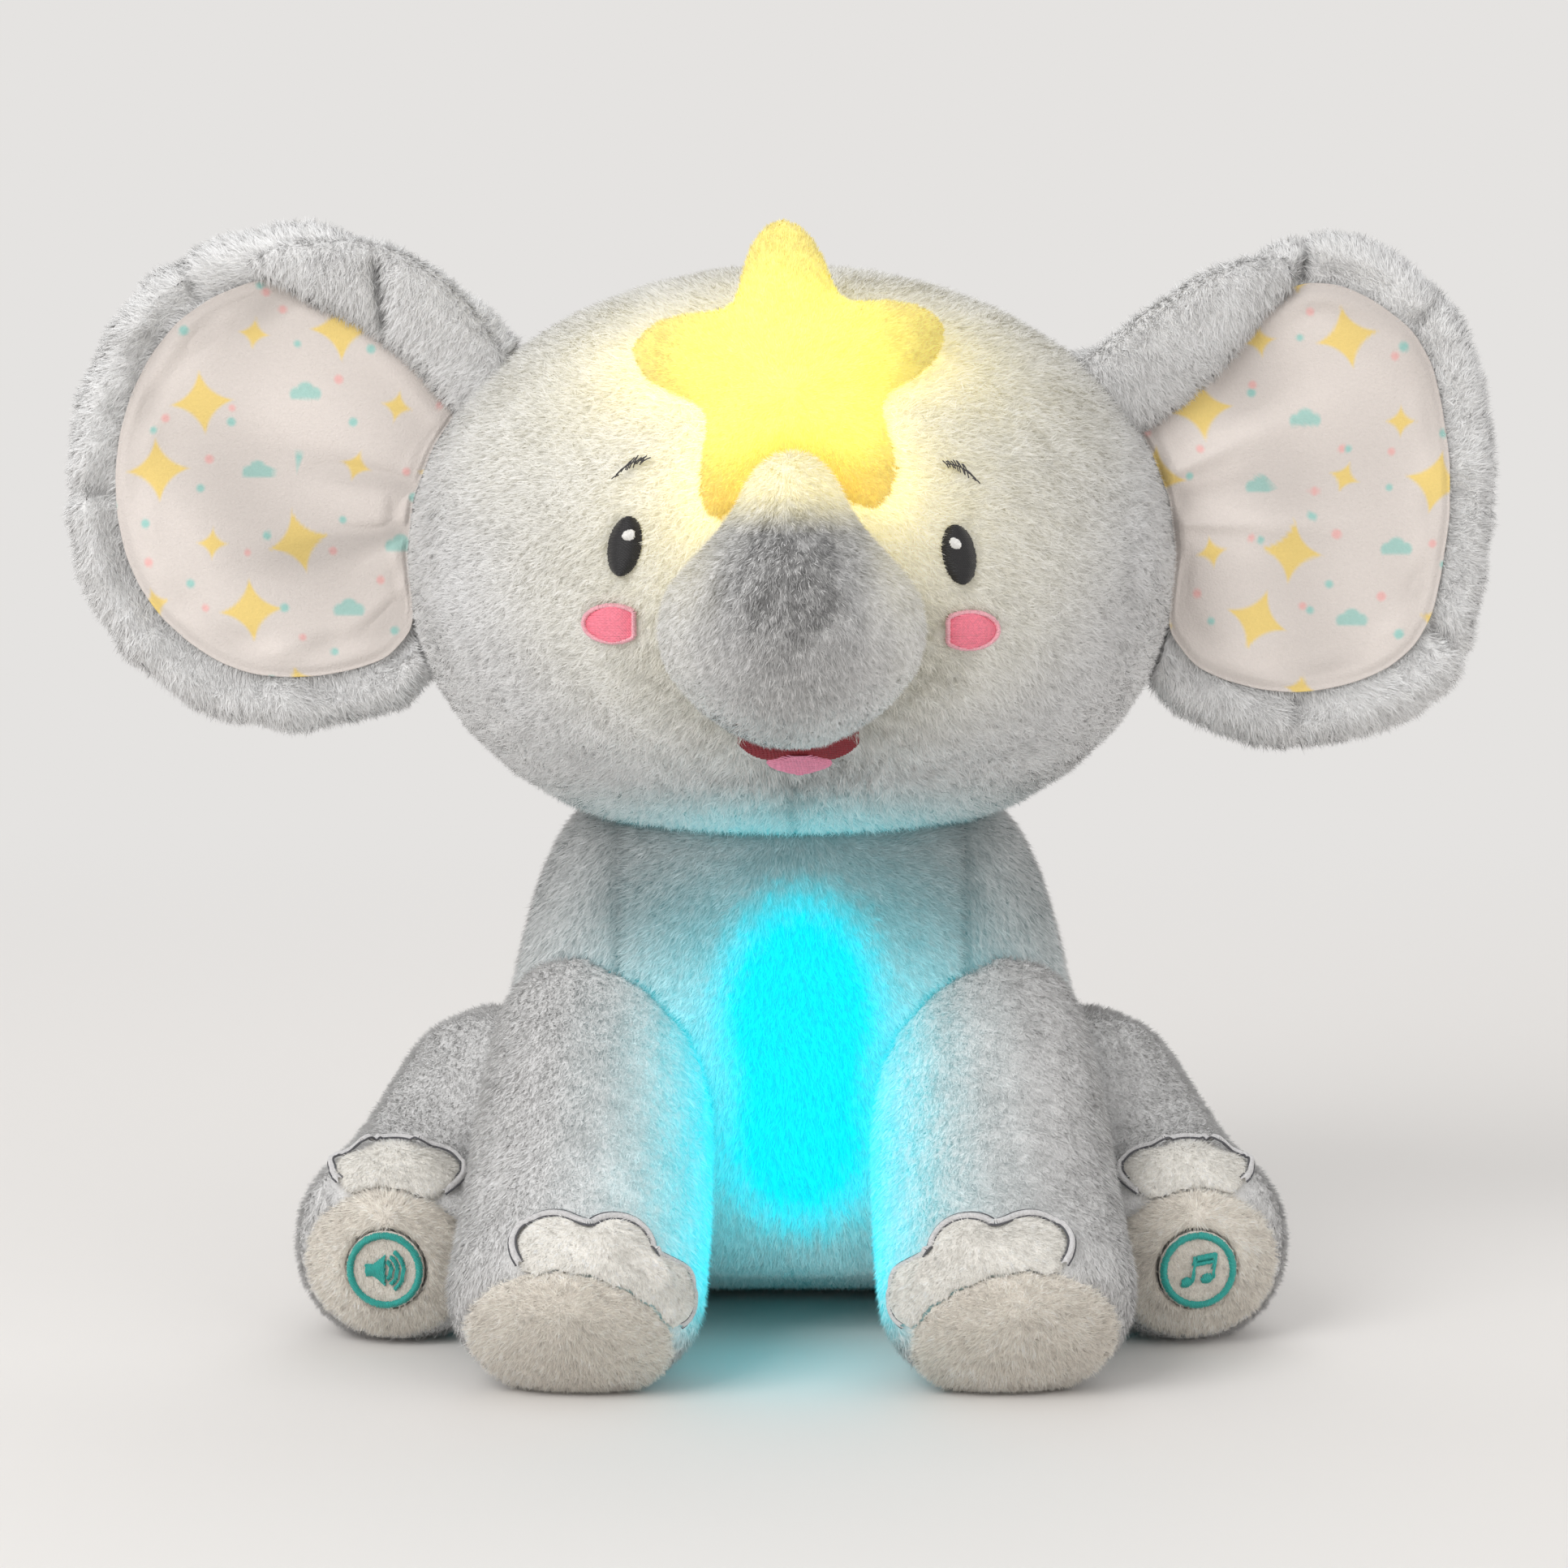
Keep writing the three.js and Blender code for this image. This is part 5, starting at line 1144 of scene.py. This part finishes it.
rows = satin(mouthInside, 15, 0.34, mouthPlace, 1.0, 0.2, 0, 0.2, 15)
mouthStitches = stitch("mouthStitches", rows, 0.42, redThread, "toy")
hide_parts("mouth")
rows = satin(tongueInside, 9, 0.32, mouthPlace, 1.7, 0.4, 0, 0.15, 16)
tongueStitches = stitch("tongueStitches", rows, 0.4, tongueThread, "toy")
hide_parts("tongue")
print("face stitched")


# Ears and their linings
liningLook = {
    "rings": 96, "spokes": 400, "thick": 0.45,
    "ground": fromScreen(217, 208, 202),
    "sparkle": fromScreen(236, 206, 116), "cloud": fromScreen(158, 200, 192),
    "pinkDot": fromScreen(232, 178, 174), "tealDot": fromScreen(150, 202, 194),
}


def linedOutline(node):
    tree = nodeTree(node)
    low, high = (np.array(v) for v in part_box(node))
    middle = (low + high) / 2
    turns = np.linspace(0, 2 * math.pi, liningLook["spokes"], endpoint=False)
    reach = []
    for turn in turns:
        hit = tree.ray_cast(Vector(middle), Vector((math.cos(turn), 0, math.sin(turn))))[3]
        reach.append(hit or 0.03)
    reach = np.array(reach)
    for _ in range(4):
        reach = (np.roll(reach, 2) + np.roll(reach, 1) + reach + np.roll(reach, -1) + np.roll(reach, -2)) / 5
    return middle, turns, reach, low, high


def reachAt(outline, p):
    middle, turns, reach, _, _ = outline
    x, z = p[:, 0] - middle[0], p[:, 2] - middle[2]
    turn = np.mod(np.arctan2(z, x), 2 * math.pi)
    step = turns[1] - turns[0]
    full = np.interp(turn, np.append(turns, turns[-1] + step), np.append(reach, reach[0]))
    return np.hypot(x, z) / full, full


def printedCloth(p, seed):
    x, z = p[:, 0] / mm, p[:, 2] / mm
    colour = np.tile(np.array(liningLook["ground"])[None, :], (len(p), 1))
    rng = np.random.default_rng(seed)

    def lay(shape, paint, soft=0.35):
        nonlocal colour
        colour = paintOver(colour, paint, np.clip(0.5 - shape / (2 * soft), 0, 1) * 0.9)

    def sparkle(x0, z0, size, turn):
        u = (x - x0) * math.cos(turn) + (z - z0) * math.sin(turn)
        v = -(x - x0) * math.sin(turn) + (z - z0) * math.cos(turn)
        r = (np.abs(u) ** 0.6 + np.abs(v) ** 0.6) ** (1 / 0.6)
        return np.maximum(r - size * 1.16, np.hypot(u, v) - size * 0.97) * 0.4

    def cloud(x0, z0, size):
        lobes = [(-0.55, 0, 0.42), (0, 0.2, 0.55), (0.55, 0.02, 0.42)]
        rounds = [np.hypot(x - x0 - a * size, z - z0 - b * size) - r * size for a, b, r in lobes]
        return np.maximum(np.min(rounds, axis=0), -(z - z0) - 0.3 * size)

    count = 0
    for row in range(-1, 8):
        for column in range(-1, 7):
            x0 = np.floor(x.min()) + column * 23 + (11.5 if row % 2 else 0) + rng.uniform(-2, 2)
            z0 = np.floor(z.min()) + row * 17 + rng.uniform(-2, 2)
            kind = (column + 2 * row) % 3
            if kind == 0:
                lay(sparkle(x0, z0, 7.4, rng.uniform(-0.4, 0.4)), liningLook["sparkle"])
            elif kind == 1:
                lay(cloud(x0, z0, 3.9), liningLook["cloud"])
            else:
                lay(sparkle(x0, z0, 3.6, rng.uniform(-0.4, 0.4)), liningLook["sparkle"])
            for k in range(2):
                dotX, dotZ = x0 + rng.uniform(7, 14), z0 + rng.uniform(-8, 8)
                dot = np.hypot(x - dotX, z - dotZ) - rng.uniform(0.8, 1.2)
                lay(dot, liningLook["pinkDot" if (count + k) % 2 else "tealDot"])
            count += 1
    return colour


def liningFolds(outline, p, share, side, seed):
    middle = outline[0]
    x, z = side * (p[:, 0] - middle[0]) / mm, (p[:, 2] - middle[2]) / mm
    seam = np.array([-52.0, -8.0])
    turn = np.arctan2(z - seam[1], x - seam[0])
    away = np.hypot(x - seam[0], z - seam[1])
    folds = np.zeros(len(p))
    rng = np.random.default_rng(seed)
    for _ in range(7):
        where, wide, high = rng.uniform(-0.9, 1.0), rng.uniform(0.05, 0.12), rng.uniform(-1.0, 0.9)
        folds += 2.3 * high * bell((turn - where) / wide) * bell((away - 34) / 28)
    folds += 0.8 * ripple(p, 34 * mm, seed + 1)
    rim = bell((share - 0.86) / 0.07)
    folds += 0.8 * rim * ripple(p, 13 * mm, seed + 2)
    return folds * (1 - between(share, 0.9, 1.0))


clothMaterial, nodes, links, shader = nodeMaterial("liningCloth")
mottled(nodes, links, shader, painted(nodes, "printAndShade"), 1300, 2, 0.95, 1.05)
giveFinish(shader, {"Roughness": 0.85, "Specular IOR Level": 0.2, "Sheen Weight": 0.3})
bumpFrom(nodes, links, noiseNode(nodes, links, 1700, 3, 0.7), 0.00025, shader)


def makeLining(side, outline):
    name = "left" if side < 0 else "right"
    middle, turns, reach, low, high = outline
    rings, spokes = liningLook["rings"], liningLook["spokes"]
    bpy.ops.mesh.primitive_grid_add(x_subdivisions=spokes, y_subdivisions=rings, size=1)
    piece = bpy.context.object
    piece.name = "earLining" + name.capitalize()
    co = skinOf(piece)[0]
    turn = (co[:, 0] + 0.5) * 2 * math.pi
    share = np.sqrt(co[:, 1] + 0.5)
    full = np.interp(turn, np.append(turns, 2 * math.pi), np.append(reach, reach[0]))
    out = full * share
    p = columns(middle[0] + out * np.cos(turn), 0, middle[2] + out * np.sin(turn))
    folds = liningFolds(outline, p, share, side, 60 + side)
    p[:, 1] = high[1] - 1.3 * mm - folds * mm
    p[:, 1] += 0.9 * mm * between(share, 0.94, 1.0)
    p[:, 1] = np.minimum(p[:, 1], high[1] - 0.6 * mm)
    writePlaces(piece, p)
    pickOnly(piece)
    bpy.ops.object.mode_set(mode="EDIT")
    bpy.ops.mesh.select_all(action="SELECT")
    bpy.ops.mesh.remove_doubles(threshold=0.00004)
    bpy.ops.mesh.select_mode(type="EDGE")
    bpy.ops.mesh.select_all(action="DESELECT")
    bpy.ops.mesh.select_non_manifold()
    bpy.ops.mesh.extrude_region_move(TRANSFORM_OT_translate={"value": (0, liningLook["thick"] * mm, 0)})
    bpy.ops.mesh.edge_face_add()
    bpy.ops.mesh.select_all(action="SELECT")
    bpy.ops.mesh.normals_make_consistent(inside=False)
    bpy.ops.object.mode_set(mode="OBJECT")
    bpy.ops.object.shade_smooth()
    p = skinOf(piece)[0]
    share = reachAt(outline, p)[0]
    folds = liningFolds(outline, p, share, side, 60 + side)
    # Painted shade in the hollows of the folds and under the rim's overhang, over the print
    shade = 1 + 0.09 * np.clip(folds, -2.5, 1)
    shade *= 1 - 0.16 * between(share, 0.7, 1.0) * between(p[:, 2] - middle[2], 0, 30 * mm)
    writeColours(piece.data, "printAndShade", printedCloth(p, 80 + side) * shade[:, None])
    giveMaterial(piece, clothMaterial)
    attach(piece, "ear_" + name)
    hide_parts("ear_lining_" + name)


# Pinched darts across the rim, each from the lining's edge outwards: turn about the lining's middle, strength
earDarts = {-1: [(118, 0.7), (184, 0.6)], 1: [(84, 1.0), (50, 0.5), (318, 0.7), (275, 0.5)]}


# How far points lie beside a dart's line, and along it
def besideDart(x, z, turn):
    across, up = math.cos(math.radians(turn)), math.sin(math.radians(turn))
    return x * -up + z * across, x * across + z * up


def earRule(side, outline):
    def rule(p, n):
        keep, stretch, colour, glow = plainPile(p, "grey")
        share, full = reachAt(outline, p)
        inFront = n[:, 1] < 0.1
        covered = inFront & (share < 1 - 2.0 * mm / full) & (p[:, 1] > -6.2 * mm)
        keep[covered] = 0
        keep *= 1 - 0.34 * between(n[:, 1], 0.2, 0.6)
        middle = outline[0]
        x, z = p[:, 0] - middle[0], p[:, 2] - middle[2]
        # Painted shade in each dart's crease, where the pile is also shorter
        for turn, strength in earDarts[side]:
            off, along = besideDart(x, z, turn)
            line = bell(off / (1.3 * mm)) * (along > 0) * between(share, 0.98, 1.04)
            line *= 1 - between(share, 1.13, 1.2)
            dim(colour, 0.62 * strength * line * inFront)
            stretch *= 1 - 0.3 * strength * line
        # Painted shade where the rim turns in over the lining's edge
        tuckShade = inFront * bell((share - 1.0) / 0.03)
        dim(colour, 0.2 * tuckShade)
        rim = inFront & (share > 1.0)
        stretch[rim] *= 1.12
        flow = columns(x * 0.6, 0, z * 0.6)
        flow[rim] += (columns(-z, 0, x) * 0.35)[rim]
        flow[:, 2] -= 0.012
        return keep, flow, stretch, colour, glow
    return rule


def pinchEar(side, outline):
    def shape(skin):
        co, normals, _ = skinOf(skin)
        share = reachAt(outline, co)[0]
        middle = outline[0]
        x, z = co[:, 0] - middle[0], co[:, 2] - middle[2]
        rim = between(share, 0.97, 1.05) * (1 - between(share, 1.22, 1.34)) * (normals[:, 1] < 0.5)
        for turn, strength in earDarts[side]:
            off, along = besideDart(x, z, turn)
            pinch = bell(off / (2.2 * mm)) * (along > 0) * rim * strength
            co -= normals * (2.6 * mm * pinch)[:, None]
        co += normals * (0.7 * mm * rim * ripple(co, 16 * mm, 90 + side))[:, None]
        writePlaces(skin, co)
    return shape


# Plush turned over the lining at the ear's root: across, up and half width at each point, mm
earFolds = {
    -1: [(-131.5, 258.6, 2.2), (-123.5, 259.8, 5.2), (-112.0, 257.4, 8.6), (-98.0, 253.2, 10.8),
         (-86.4, 244.4, 10.4), (-76.6, 232.0, 9.4), (-68.0, 222, 8)],
    1: [(120.6, 257.6, 4.2), (108.8, 253.2, 8.4), (98.4, 243.8, 11.0), (87.0, 234.2, 11.6), (75.6, 226.6, 11),
        (66, 221, 9)],
}


def foldSkin(side, name):
    bpy.ops.curve.primitive_nurbs_path_add()
    piece = bpy.context.object
    piece.name = name
    curve = piece.data
    curve.splines.clear()
    line = curve.splines.new("NURBS")
    line.points.add(len(earFolds[side]) - 1)
    for point, (x, z, half) in zip(line.points, earFolds[side]):
        point.co = (x * mm, 0, z * mm, 1)
        point.radius = half
    line.use_endpoint_u = True
    line.order_u = 3
    curve.bevel_depth = 1 * mm
    curve.bevel_resolution = 6
    curve.use_fill_caps = True
    pickOnly(piece)
    bpy.ops.object.convert(target="MESH")
    piece.scale = (1, 0.62, 1)
    piece.location = (0, -5.2 * mm, 0)
    applyPlace(piece)
    return piece


# The left fold is creased where a dart gathers it
def foldCrease(side, p, width):
    z = p[:, 2]
    off = (p[:, 0] + 99 * mm + 0.12 * (z - 250 * mm)) / (width * mm)
    return bell(off) * between(z, 240 * mm, 247 * mm) * (1 - between(z, 258 * mm, 263 * mm)) * (side < 0)


def creasedFold(side):
    def shape(skin):
        co, normals, _ = skinOf(skin)
        writePlaces(skin, co - normals * (2.4 * mm * foldCrease(side, co, 2.6))[:, None])
    return shape


def foldRule(side, outline):
    def rule(p, n):
        keep, stretch, colour, glow = plainPile(p, "grey")
        keep[n[:, 1] > 0.4] = 0
        inward = outline[0] - p
        inward[:, 1] = 0
        inward = unit(inward)
        flow = inward + np.array([[0, 0, -0.5]])
        # Painted shade along the fold's inner edge and in the left fold's crease
        edge = between(inward[:, 0] * n[:, 0] + inward[:, 2] * n[:, 2], 0.35, 0.95)
        dim(colour, 0.22 * edge)
        dim(colour, 0.7 * foldCrease(side, p, 1.3))
        return keep, flow, stretch, colour, glow
    return rule


earLook = {"voxel": 1.7, "soften": 5, "pile": 2.9, "density": 5.6, "lift": 32, "clump": 0.4, "stray": 0.15,
           "deep": 0.92, "bright": 1.12, "fill": 0.8, "puff": -0.6}
for name, side in sides.items():
    outline = linedOutline("ear_lining_" + name)
    makeLining(side, outline)
    dressForm({
        **earLook, "name": "ear" + name.capitalize(), "node": "ear_" + name, "body": "ear_" + name,
        "slot": "plush", "seed": 121 + side, "shape": pinchEar(side, outline),
    }, earRule(side, outline))
    foldName = "earFold" + name.capitalize()
    dressForm({
        **earLook, "name": foldName, "skin": foldSkin(side, foldName), "voxel": 1.4, "soften": 6, "puff": 0,
        "density": 6.5, "pile": 3.2, "body": "ear_" + name, "slot": "plush", "seed": 131 + side,
        "shape": creasedFold(side),
    }, foldRule(side, outline))


# Sewn-on soles and toe patches
def patchRule(tone, aim, hide=None, toes=None):
    def rule(p, n):
        keep, stretch, colour, glow = plainPile(p, tone)
        keep[n @ np.array(aim) < 0.1] = 0
        if hide is not None:
            keep[np.linalg.norm((p - hide)[:, [0, 2]], axis=1) < 9.3 * mm] = 0
        if toes:
            grey = between(outsideToes(*toes, p), 0.1, 0.7)
            colour = paintOver(colour, np.array(pileLooks["grey"]) * 0.85, grey)
        flow = p - p.mean(axis=0)
        flow[:, 2] -= 0.012
        return keep, flow, stretch, colour, glow
    return rule


soleLook = {"voxel": 0.75, "soften": 4, "pile": 2.2, "density": 8, "lift": 32, "width": 0.2}
toeLook = {"voxel": 0.6, "soften": 3, "pile": 1.5, "density": 8, "lift": 34, "width": 0.2, "deep": 0.9}
patchMiddles = {}
pressAims = {side: (side * 0.11554, -0.99311, -0.01936) for side in (-1, 1)}
for name, side in sides.items():
    low, high = (np.array(v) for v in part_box(("volume" if side < 0 else "music") + "_patch"))
    patchMiddles[side] = (low + high) / 2
    for kind in ("front", "hind"):
        end = name.capitalize()
        aim = (0, -0.86, -0.5) if kind == "front" else pressAims[side]
        hide = None if kind == "front" else patchMiddles[side]
        dressForm({
            **soleLook, "name": f"{kind}Sole{end}", "node": f"{kind}_sole_{name}", "body": "toy",
            "slot": "sole_plush", "seed": 141 + side + 4 * (kind == "hind"), "fill": 0.6,
        }, patchRule("cream", aim, hide))
        aim = (0, -0.55, 0.83) if kind == "front" else (0, -0.35, 0.93)
        dressForm({
            **toeLook, "name": f"{kind}Toes{end}", "node": f"{kind}_toes_{name}", "body": "toy",
            "slot": "pale_plush", "seed": 161 + side + 4 * (kind == "hind"), "fill": 0.5,
        }, patchRule("pale", aim, toes=(kind, side)))


# Cord round the toes, laid along the lobes on the foot's surface, from one edge of the sole to the other
def toeEdge(kind, side, trees, sole):
    foot, end, heading, across, top = footFrame(kind, side)
    turns = np.linspace(-math.pi / 2, 1.5 * math.pi, 900)
    reach = toeReach(foot, turns)
    path, outs = [], []
    for u, v in zip(reach * np.cos(turns), reach * np.sin(turns)):
        turn = (side * foot["round"] + side * foot["lobeWay"] * u) / foot["half"]
        out = across * math.sin(turn) * foot["half"] + top * math.cos(turn) * foot["tall"]
        axis = end - heading * (foot["back"] + v) * mm
        out /= np.linalg.norm(out)
        hits = [tree.ray_cast(Vector(axis + out * 0.04), Vector(-out), 0.03)[0] for tree in trees]
        hits = [np.array(hit) for hit in hits if hit]
        if not hits:
            continue
        spot = max(hits, key=lambda hit: hit @ out)
        if sole.find_nearest(spot)[3] > 1.3 * mm and (not path or np.linalg.norm(path[-1] - spot) > 0.3 * mm):
            path.append(spot)
            outs.append(out)
    # Notches are rounded a little, as the cord can't fold on itself
    path, outs = np.array(path), np.array(outs)
    for rows in (path, outs):
        for _ in range(3):
            rows[1:-1] = (rows[:-2] + 2 * rows[1:-1] + rows[2:]) / 4
    return path, outs


def cordStrands(path, outs, gap, length, rise, seed):
    rng = np.random.default_rng(seed)
    at, whole = walked(path)
    strands, edges = [], [[], []]
    for s in np.arange(0.2 * mm, whole - 0.2 * mm, gap * mm):
        way = at(s + 0.3 * mm) - at(s - 0.3 * mm)
        way /= max(np.linalg.norm(way), 1e-9)
        out = at(s, outs)
        side = np.cross(way, out)
        side /= max(np.linalg.norm(side), 1e-9)
        lean = (side + way * 0.35) * length * mm / 2 * rng.uniform(0.9, 1.1)
        base = at(s)
        strands.append([base + lean * t + out * (rise + 1.9 - 0.8 * t * t) * mm for t in stitchSteps])
        # Dark threads along both edges of the cord stand in for painted shadow
        for k, sign in enumerate((-1, 1)):
            spot = base + side * sign * (length / 2 + 0.25) * mm + out * (rise + 1.15) * mm
            if not edges[k] or (spot - edges[k][-1]) @ way > 0.12 * mm:
                edges[k].append(spot)
    return strands, edges


for name, side in sides.items():
    for kind in ("front", "hind"):
        end = name.capitalize()
        skins = [treeOf(bpy.data.objects[f"{kind}{part}{end}"]) for part in ("Leg", "Toes")]
        path, outs = toeEdge(kind, side, skins, nodeTree(f"{kind}_sole_{name}"))
        rows, edges = cordStrands(path, outs, 0.32, 1.4, 0.9 if kind == "hind" else 0, 170 + side)
        stitch(f"{kind}ToeCord{end}", rows, 0.4, greyThread, "toy")
        stitch(f"{kind}ToeShade{end}", edges, 0.55, cordShadowThread, "toy")


# Button patches on the hind soles: a ring and a plain sign in satin
def ringInside(u, v):
    return 7.7 < math.hypot(u, v) < 9.1


def barInside(a, b, radius):
    a, b = np.array(a, float), np.array(b, float)

    def inside(u, v):
        p = np.array([u, v])
        t = np.clip((p - a) @ (b - a) / max((b - a) @ (b - a), 1e-9), 0, 1)
        return np.linalg.norm(p - a - (b - a) * t) < radius
    return inside


def speakerInside(u, v):
    box = -4.6 < u < -2.7 and abs(v) < 1.4
    horn = -2.7 <= u < 0.2 and abs(v) < 1.4 + (u + 2.7) * 0.82
    turn = abs(math.atan2(v, u + 0.9))
    waves = any(abs(math.hypot(u + 0.9, v) - r) < 0.42 and turn < 0.95 for r in (2.6, 4.1, 5.6))
    return box or horn or waves


noteParts = [
    oval(3.1, 2.2, (-2.9, -2.9), 0.35), oval(3.1, 2.2, (2.1, -2.0), 0.35),
    barInside((-1.6, -2.6), (-0.9, 2.6), 0.42), barInside((3.4, -1.6), (4.0, 3.5), 0.42),
    barInside((-0.9, 2.7), (4.0, 3.6), 0.62), barInside((-1.0, 1.4), (3.9, 2.3), 0.42),
]


def patchOnButton(use, side, sign):
    aim = np.array(pressAims[side])
    look = {
        "name": use + "Patch", "node": use + "_patch", "body": use + "_press", "slot": "teal_thread",
        "voxel": 0.55, "soften": 2, "pile": 1.2, "density": 9, "lift": 30, "width": 0.2, "deep": 0.8,
        "seed": 181 + side, "fill": 0.5,
    }
    middle = patchMiddles[side]
    across = np.array([-aim[1], aim[0], 0])
    across /= np.linalg.norm(across)
    up = np.cross(across, aim)
    up *= 1 if up[2] > 0 else -1

    def rule(p, n):
        keep, stretch, colour, glow = plainPile(p, "cream")
        keep[n @ aim < 0.4] = 0
        u, v = (p - middle) @ across / mm, (p - middle) @ up / mm
        keep[np.array([ringInside(a, b) or sign(a, b) for a, b in zip(u, v)])] = 0
        return keep, combed(p, (0.2, 0.0, -1.0)), stretch, colour, glow

    skin = dressForm(look, rule)
    place = placerOn(treeOf(skin), middle, across, up, aim)
    ring = [(8.4 * math.cos(a), 8.4 * math.sin(a)) for a in np.linspace(0, 2 * math.pi, 90)]
    rows = stitchesAlong(ring, 1.4, 0.34, place, 0.7, 0.35, 190)
    rows += satin(sign, 7, 0.3, place, 0.7, 0.3, math.radians(80), 0.12, 191)
    stitch(use + "Sign", rows, 0.38, tealThread, use + "_press")


patchOnButton("volume", -1, speakerInside)
patchOnButton("music", 1, lambda u, v: any(part(u, v) for part in noteParts))
print("patches stitched")


# Tail and rear flap
def tailRule(p, n):
    keep, stretch, colour, glow = plainPile(p, "grey")
    tuft = between(p[:, 1], 96 * mm, 104 * mm)
    stretch *= 1 + 0.9 * tuft
    dim(colour, 0.15 * tuft)
    return keep, combed(p, (0.0, 0.6, -0.8)), stretch, colour, glow


dressForm({
    "name": "tailPlush", "node": "tail", "body": "tail", "slot": "plush", "voxel": 0.9, "soften": 4,
    "pile": 2.6, "density": 6, "lift": 30, "seed": 201, "fill": 0.8,
}, tailRule)


def flapRule(p, n):
    keep, stretch, colour, glow = plainPile(p, "grey")
    keep[n[:, 1] < 0.1] = 0
    return keep, combed(p, (0.0, 0.2, -1.0)), stretch, colour, glow


dressForm({
    "name": "flapPlush", "node": "rear_flap", "body": "flap", "slot": "plush", "voxel": 1.2, "soften": 3,
    "pile": 3.0, "density": 4.2, "lift": 34, "seed": 205, "fill": 0.5,
}, flapRule)


# Inside pieces keep their CAD shape and get real finishes
whitePlastic = mouldedMaterial("whitePlastic", fromScreen(232, 232, 228), 0.42)
frostedPlastic = mouldedMaterial("frostedPlastic", fromScreen(222, 238, 242), 0.5)
blackPlastic = mouldedMaterial("blackPlastic", fromScreen(44, 44, 46), 0.45)
speakerBlack = mouldedMaterial("speakerBlack", fromScreen(38, 38, 40), 0.6, 0.00008, 0.12)
greenBoard = mouldedMaterial("greenBoard", fromScreen(48, 110, 72), 0.38, 0.00002, 0.15)
leadSheath = mouldedMaterial("leadSheath", fromScreen(222, 222, 220), 0.5)
springSteel = metalMaterial("springSteel", fromScreen(200, 203, 206), 0.28)
fastenerTape = mouldedMaterial("fastenerTape", fromScreen(168, 168, 168), 0.9, 0.0005, 0.2)
cellBands = [
    (-0.0253, fromScreen(188, 190, 192)), (-0.0245, fromScreen(58, 74, 92)),
    (0.016, fromScreen(196, 150, 62)), (0.0235, fromScreen(188, 190, 192)),
]
cellWrap = bandedMaterial("cellWrap", "X", cellBands)
nodeFinishes = {
    whitePlastic: ["star_lamp_base", "volume_housing", "music_housing", "volume_button", "music_button",
                   "module_case", "battery_door"],
    frostedPlastic: ["star_lamp_dome", "diffuser", "belly_led_upper", "belly_led_lower"],
    blackPlastic: ["power_switch"],
    speakerBlack: ["speaker"],
    greenBoard: ["star_lamp_board", "circuit_board"],
    leadSheath: ["star_lead", "volume_lead", "music_lead"],
    springSteel: ["contact_plate_left", "contact_plate_right", "door_screw"],
    fastenerTape: ["hook_strip", "loop_strip"],
    cellWrap: ["battery_1", "battery_2", "battery_3"],
}
for finish, carried in nodeFinishes.items():
    for node in carried:
        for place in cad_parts[node].material_slots:
            place.material = finish
print("blades in all", pileCount["blades"])
